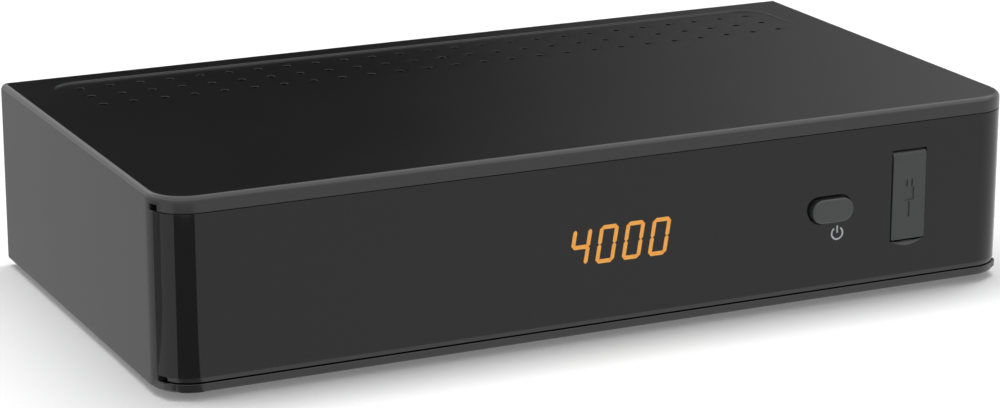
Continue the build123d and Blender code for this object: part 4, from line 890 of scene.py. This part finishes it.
# nuts, 12.7 mm across their flats, with rounded outer corners
nut_low, nut_high = corners_mm("f_nuts")
nut_radius = 12.7 / 2 / math.cos(math.radians(30))
nut_y, nut_z = (nut_low.y + nut_high.y) / 2, (nut_low.z + nut_high.z) / 2
nut_turn = Matrix.Rotation(math.pi / 2, 4, "X") @ Matrix.Rotation(math.pi / 2, 4, "Z")
nut_x = (nut_low.x + nut_radius, nut_high.x - nut_radius)
nut_seats = [(x, nut_low.y, nut_z) for x in nut_x]
nuts = bmesh.new()
for x in nut_x:
    rod(nuts, nut_radius, nut_high.y - nut_low.y, 6, Matrix.Translation((x, nut_y, nut_z)) @ nut_turn)
rounded = [(0, -0.1), (7.6, -0.1), (7.6, 1.35), (6.3, 2.02), (0, 2.02)]
nut_bore = turned([(0, -1), (4.65, -1), (4.65, 3), (0, 3)], nut_seats, (0, 1, 0), 40)
nut_mesh = combine(as_mesh(nuts), turned(rounded, nut_seats, (0, 1, 0), 48), "INTERSECT")
nut_mesh = combine(nut_mesh, nut_bore, "DIFFERENCE")
add_piece("panel_nuts", nut_mesh, nickel, ("f_nuts",), 0.06)

# Moulded polyethylene: waxy white, a little uneven in tone.
white_poly = finish("white_polyethylene", ["d9d7cd", "e9e7df"], 0.42, 0.4, 0.1, ior=1.51, drift=4.0)
dress_node("connector_insulators", "f_insulators", white_poly, 0.08)

# ---------------------------------------- audio socket
# Phono socket for digital audio: an orange moulded body on the board, with a plated ring round its core.
ring_low, ring_high = corners_mm("audio_ring")
ring_tall = ring_high.y - ring_low.y
ring_profile = [(3.55, 0), (3.9, 0), (3.9, 1.2), (4.15, 1.25), (4.15, ring_tall - 0.2)]
ring_profile += [(4.07, ring_tall - 0.06), (3.95, ring_tall), (3.72, ring_tall)]
ring_profile += [(3.6, ring_tall - 0.06), (3.55, ring_tall - 0.2), (3.55, 0)]
ring_foot = ((ring_low.x + ring_high.x) / 2, ring_low.y, (ring_low.z + ring_high.z) / 2)
ring_mesh = as_mesh(turned(ring_profile, [ring_foot], (0, 1, 0), 48))
add_piece("audio_sleeve", ring_mesh, nickel, ("audio_ring",))
# Orange ABS: smooth and fairly glossy, as coded sockets are.
orange_abs = finish("orange_abs", ["cf6414", "e0771f"], 0.3, 0.5, 0.06, ior=1.53, drift=6.0)
dress_node("audio_body", "audio_socket", orange_abs, 0.15)

# ---------------------------------------- television socket
# SCART socket in black glass-filled nylon: a slanted nose with a deep groove for the plug's shell, and
# two rows of slots; the plated contacts in them are not drawn.

# Glass-filled nylon: dull black with short pale glass fibres near the skin.
black_nylon = finish("black_glass_nylon", ["131314", "222224"], 0.52, 0.35, 0.2, ior=1.53, drift=0.8)
dress_node("television_socket", "scart_socket", black_nylon, 0.12)

# ---------------------------------------- video socket
# Digital video socket: a shell folded from tinned steel, and a nylon tongue with gold-plated contacts,
# ten above and nine below, half a pitch apart.

# Tinned steel: pale grey metal, with the soft cloudy crystals of the tin some 3 mm across.
tinned = finish("tinned_steel", ["a3a5a6", "c6c8c9"], 0.34, 0.3, 0.06, metallic=1.0, drift=3.0)
dress_node("video_shell", "hdmi_shell", tinned, 0.08)
dress_node("video_tongue", "hdmi_tongue", black_nylon, 0.06)
tongue_low, tongue_high = corners_mm("hdmi_tongue")
video_x, video_z = (tongue_low.x + tongue_high.x) / 2, (tongue_low.z + tongue_high.z) / 2
contact_back, contact_front = tongue_high.y - 6.5, tongue_high.y - 0.7
video_pins = bmesh.new()
for count, low_z, high_z in ((10, video_z + 0.5, video_z + 0.65), (9, video_z - 0.65, video_z - 0.5)):
    for pin in range(count):
        x = video_x + pin - (count - 1) / 2
        block(video_pins, (x - 0.2, contact_back, low_z), (x + 0.2, contact_front, high_z))
# Gold plate over nickel: warm and bright, with faint rolling marks.
gold = finish("gold_plate", ["c99a45", "e0b765"], 0.24, 0.2, 0.05, metallic=1.0, drift=1.0)
add_piece("video_contacts", as_mesh(video_pins), gold)

# ---------------------------------------- network socket
# RJ45 socket: a black nylon body with a stepped mouth, a tinned shield folded round it, and eight
# gold-plated spring wires that lean into the mouth from below.
dress_node("network_shield", "ethernet_shield", tinned, 0.08)
dress_node("network_body", "ethernet_jack", black_nylon, 0.1)
jack_low, jack_high = corners_mm("ethernet_jack")
jack_x, jack_front = (jack_low.x + jack_high.x) / 2, jack_high.y
mouth_floor = 12.05
wire_pitch, wire_half = 1.02, 0.22
wires = bmesh.new()
for wire in range(8):
    left = jack_x + (wire - 3.5) * wire_pitch - wire_half
    right = left + 2 * wire_half
    lifted = block(
        wires,
        (left, jack_front - 13.9, mouth_floor + 0.35),
        (right, jack_front - 3.4, mouth_floor + 0.75),
    )
    for vertex in lifted:
        if vertex.co.y < jack_front - 10:
            vertex.co.z += 3.0
    block(
        wires,
        (left, jack_front - 3.7, mouth_floor - 0.05),
        (right, jack_front - 3.42, mouth_floor + 0.74),
    )
add_piece("network_wires", as_mesh(wires), gold)

# ---------------------------------------- power socket
# DC inlet: a black nylon body with a round bore, and the plated pin at its centre. It is soldered to
# the main board and looks out through the rear panel.
dress_node("power_inlet", "power_socket", black_nylon, 0.12)
dress_node("inlet_pin", "power_pin", nickel, 0.2, 60)

# ---------------------------------------- front port
# Data socket behind the flap: a shell folded from tinned steel, and a white nylon tongue that carries
# four gold-plated contacts.
dress_node("port_shell", "usb_shell", tinned, 0.08)
# Natural nylon: milky white, slightly glossy.
natural_nylon = finish("natural_nylon", ["dcdacf", "ecebe3"], 0.38, 0.4, 0.08, ior=1.53, drift=5.0)
dress_node("port_tongue", "usb_tongue", natural_nylon, 0.08)
port_low, port_high = corners_mm("usb_tongue")
port_x, port_z = (port_low.x + port_high.x) / 2, (port_low.z + port_high.z) / 2
port_pins = [
    ((port_x - 0.13, port_low.y + 1.0, z - 0.5), (port_x + 0.05, port_low.y + 8.4, z + 0.5))
    for z in (port_z - 3.5, port_z - 1.0, port_z + 1.0, port_z + 3.5)
]
add_piece("port_contacts", as_mesh(blocks(*port_pins)), gold)

# ---------------------------------------- card reader
# Black nylon frame, soldered to the main board behind the slot in the side, with eight gold-plated
# spring contacts for the card's chip.
coat(black_nylon, "card_reader")
coat(gold, "card_contacts")

# ---------------------------------------- display module
# Four-digit display in a black moulded case against the panel, held off the front board by a white
# nylon spacer.

# Black display face: a smooth dark casting with a faint print grain.
display_face = finish("black_display_case", ["0b0908", "171310"], 0.22, 0.6, 0.06, ior=1.55, drift=8.0)
coat(display_face, "display_module")
coat(natural_nylon, "display_spacer")

# ---------------------------------------- infrared receiver
# Dark epoxy lens that passes infrared light and hides the chip. A white moulded holder on the front
# board carries it close behind the gloss.

# Dyed epoxy: nearly black, wine-red at its edges, and glossy.
dyed_epoxy = finish("dyed_epoxy_lens", ["16080c", "260d13"], 0.1, 1.0, 0.03, ior=1.56, drift=3.0)
dress_node("infrared_lens", "infrared_receiver", dyed_epoxy, 0.5)
coat(natural_nylon, "receiver_holder")

# ---------------------------------------- power switch
# Push switch: a black nylon body with a white plunger that the key presses. It is soldered to the
# front board, and a sprung dome inside it pushes the key back.
dress_node("switch_case", "switch_body", black_nylon, 0.25)
dress_node(
    "switch_button", "switch_plunger", natural_nylon, 0.25, body="switch_plunger"
)

# ---------------------------------------- circuit boards
# Front and main board in glass-epoxy laminate, 1.6 mm thick, under green solder mask. They carry the
# switch, sockets and chips, and stand on bosses and posts.

# Green solder mask over copper: the traces run in right-angled steps about 1.3 mm apart and show as a
# lighter, raised green; tinned pads dot them every few millimetres.
board_mask, board_tree, board_shader = start_material("green_solder_mask", "14502f", 0.3, 1.52)
board_place = add_node(board_tree, "TexCoord", {}).outputs["Object"]
trace_sizes = {"Scale": 100.0, "Mortar Size": 0.035, "Mortar Smooth": 0.1, "Row Height": 0.13, "Brick Width": 0.9}
board_lines = add_node(board_tree, "TexBrick", {"Vector": board_place, **trace_sizes}, offset=0.37)
board_tone = add_node(
    board_tree,
    "Mix",
    {0: board_lines.outputs["Fac"], 6: linear("12472a"), 7: linear("2b7347")},
    data_type="RGBA",
)
board_cells = add_node(board_tree, "TexVoronoi", {"Vector": board_place, "Scale": 240.0})
pad_range = {"From Min": 0.12, "From Max": 0.14, "To Min": 1.0, "To Max": 0.0}
board_pads = add_node(board_tree, "MapRange", {"Value": board_cells.outputs["Distance"], **pad_range})
board_mix = add_node(
    board_tree,
    "Mix",
    {0: board_pads.outputs[0], 6: board_tone.outputs[2], 7: linear("b9bcbd")},
    data_type="RGBA",
)
set_input(board_tree, board_shader, "Base Color", board_mix.outputs[2])
set_input(board_tree, board_shader, "Metallic", board_pads.outputs[0])
board_relief = add_node(
    board_tree, "Bump", {"Height": board_lines.outputs["Fac"], "Strength": 0.3, "Distance": 0.00005}
)
set_input(board_tree, board_shader, "Normal", board_relief.outputs[0])
coat(board_mask, "front_board", "main_board")

# ---------------------------------------- ribbon cable
# Flat grey PVC cable that joins the two boards. Each end is pressed into a white nylon header, which
# is soldered to its board.

# Grey PVC ribbon: the cores show as ridges, one each 1.27 mm, with painted shade in the grooves between them and
# painted light on their crests.
ribbon_pvc, ribbon_tree, ribbon_shader = start_material("grey_pvc_ribbon", "8e9092", 0.45, 1.53)
ribbon_place = add_node(ribbon_tree, "TexCoord", {}).outputs["Object"]
ribbon_cores = add_node(
    ribbon_tree, "TexWave", {"Vector": ribbon_place, "Scale": 250.0}, bands_direction="X"
)
ribbon_relief = add_node(
    ribbon_tree, "Bump", {"Height": ribbon_cores.outputs["Fac"], "Strength": 0.6, "Distance": 0.0003}
)
set_input(ribbon_tree, ribbon_shader, "Normal", ribbon_relief.outputs[0])
# painted shade and light: the grey is darker in each groove and paler on each crest, in step with the ridges
ribbon_painted_shade = add_node(
    ribbon_tree,
    "Mix",
    {0: ribbon_cores.outputs["Fac"], 6: linear("6f7173"), 7: linear("a2a4a6")},
    data_type="RGBA",
)
set_input(ribbon_tree, ribbon_shader, "Base Color", ribbon_painted_shade.outputs[2])
coat(ribbon_pvc, "ribbon_cable")
coat(natural_nylon, "ribbon_headers")

# ---------------------------------------- tuner
# Screening can of the satellite tuner, folded from tinned steel, with a lid sprung over its top edge;
# and the main board's crystal, in a can of the same metal.
coat(tinned, "tuner_can", "crystal")
dress_node("tuner_cap", "tuner_lid", tinned, 0.15)

# ---------------------------------------- chips
# Main processor under its heatsink, two memory chips and a flash chip, in black moulded epoxy. They
# are soldered flat on the main board.

# Moulded epoxy: a dull black with the fine sparkle of its mineral filler.
chip_epoxy = finish("black_epoxy_chip", ["1a1a1c", "29292b"], 0.6, 0.2, 0.2, ior=1.55, drift=1.2)
coat(chip_epoxy, "main_processor", "memory_chips", "flash_chip")

# ---------------------------------------- heatsink
# Black anodised aluminium, sawn off an extruded bar, so that its upright fins run straight through.
# It is glued on top of the processor.

# Anodised aluminium: the dyed oxide keeps the extrusion's fine lines and a metallic sheen.
anodised = finish(
    "black_anodised_aluminium", ["232326", "38383c"], 0.4, 0.35, 0.12, metallic=0.8, drift=2.5
)
coat(anodised, "heatsink")

# ---------------------------------------- power parts
# Four electrolytic capacitors in dark sleeves, crimped near the board and scored on top so that they
# vent, and three inductors wound in grey ferrite.
can_low, can_high = corners_mm("capacitors")
can_radius = 4.0
can_tall = can_high.z - can_low.z
can_foot = [(0, 0), (3.5, 0), (3.9, 0.3), (4, 0.8), (4, 1.3), (3.72, 1.7), (3.72, 2.0), (4, 2.4)]
can_head = [(4, can_tall - 0.5), (3.8, can_tall - 0.12), (3.4, can_tall), (3.1, can_tall)]
can_head += [(3.05, can_tall - 0.2), (0, can_tall - 0.2)]
top_profile = [(0, can_tall - 0.6), (3.04, can_tall - 0.6), (3.04, can_tall - 0.08), (0, can_tall - 0.02)]
can_x = (can_low.x + can_high.x) / 2
can_pitch = (can_high.y - can_low.y - 2 * can_radius) / 3
can_rows = [can_low.y + can_radius + i * can_pitch for i in range(4)]
can_spots = [(can_x, y, can_low.z) for y in can_rows]
can_mesh = as_mesh(turned(can_foot + can_head, can_spots, (0, 0, 1), 32))
# Dark blue sleeve of shrunk polyester: smooth, slightly wavy over the can.
sleeve_film = finish("blue_black_sleeve", ["0d0e1c", "16182c"], 0.28, 2.0, 0.12, ior=1.55, drift=4.0)
add_piece("capacitor_cans", can_mesh, sleeve_film, ("capacitors",))
top_mesh = as_mesh(turned(top_profile, can_spots, (0, 0, 1), 32))
score_floor, score_top = can_high.z - 0.16, can_high.z + 0.2
for long_x, long_y in ((2.4, 0.12), (0.12, 2.4)):
    score = [
        ((can_x - long_x, y - long_y, score_floor), (can_x + long_x, y + long_y, score_top))
        for y in can_rows
    ]
    top_mesh = combine(top_mesh, blocks(*score), "DIFFERENCE")
# Bare aluminium: pale and soft, brightened where the press scored it.
bare_aluminium = finish("bare_aluminium", ["b4b6b8", "d0d2d4"], 0.36, 0.25, 0.08, metallic=1.0, drift=1.5)
add_piece("capacitor_tops", top_mesh, bare_aluminium)

# Sintered ferrite: charcoal grey, granular and quite dull.
ferrite_core = finish("sintered_ferrite", ["2e2f31", "47484b"], 0.66, 0.3, 0.3, ior=1.6, drift=2.0)
dress_node("power_inductors", "inductors", ferrite_core, 0.4)

# ---------------------------------------- everything is in place
visual_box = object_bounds()
sizes = {name: [list(corner) for corner in box] for name, box in (("cad", cad_box), ("visual", visual_box))}
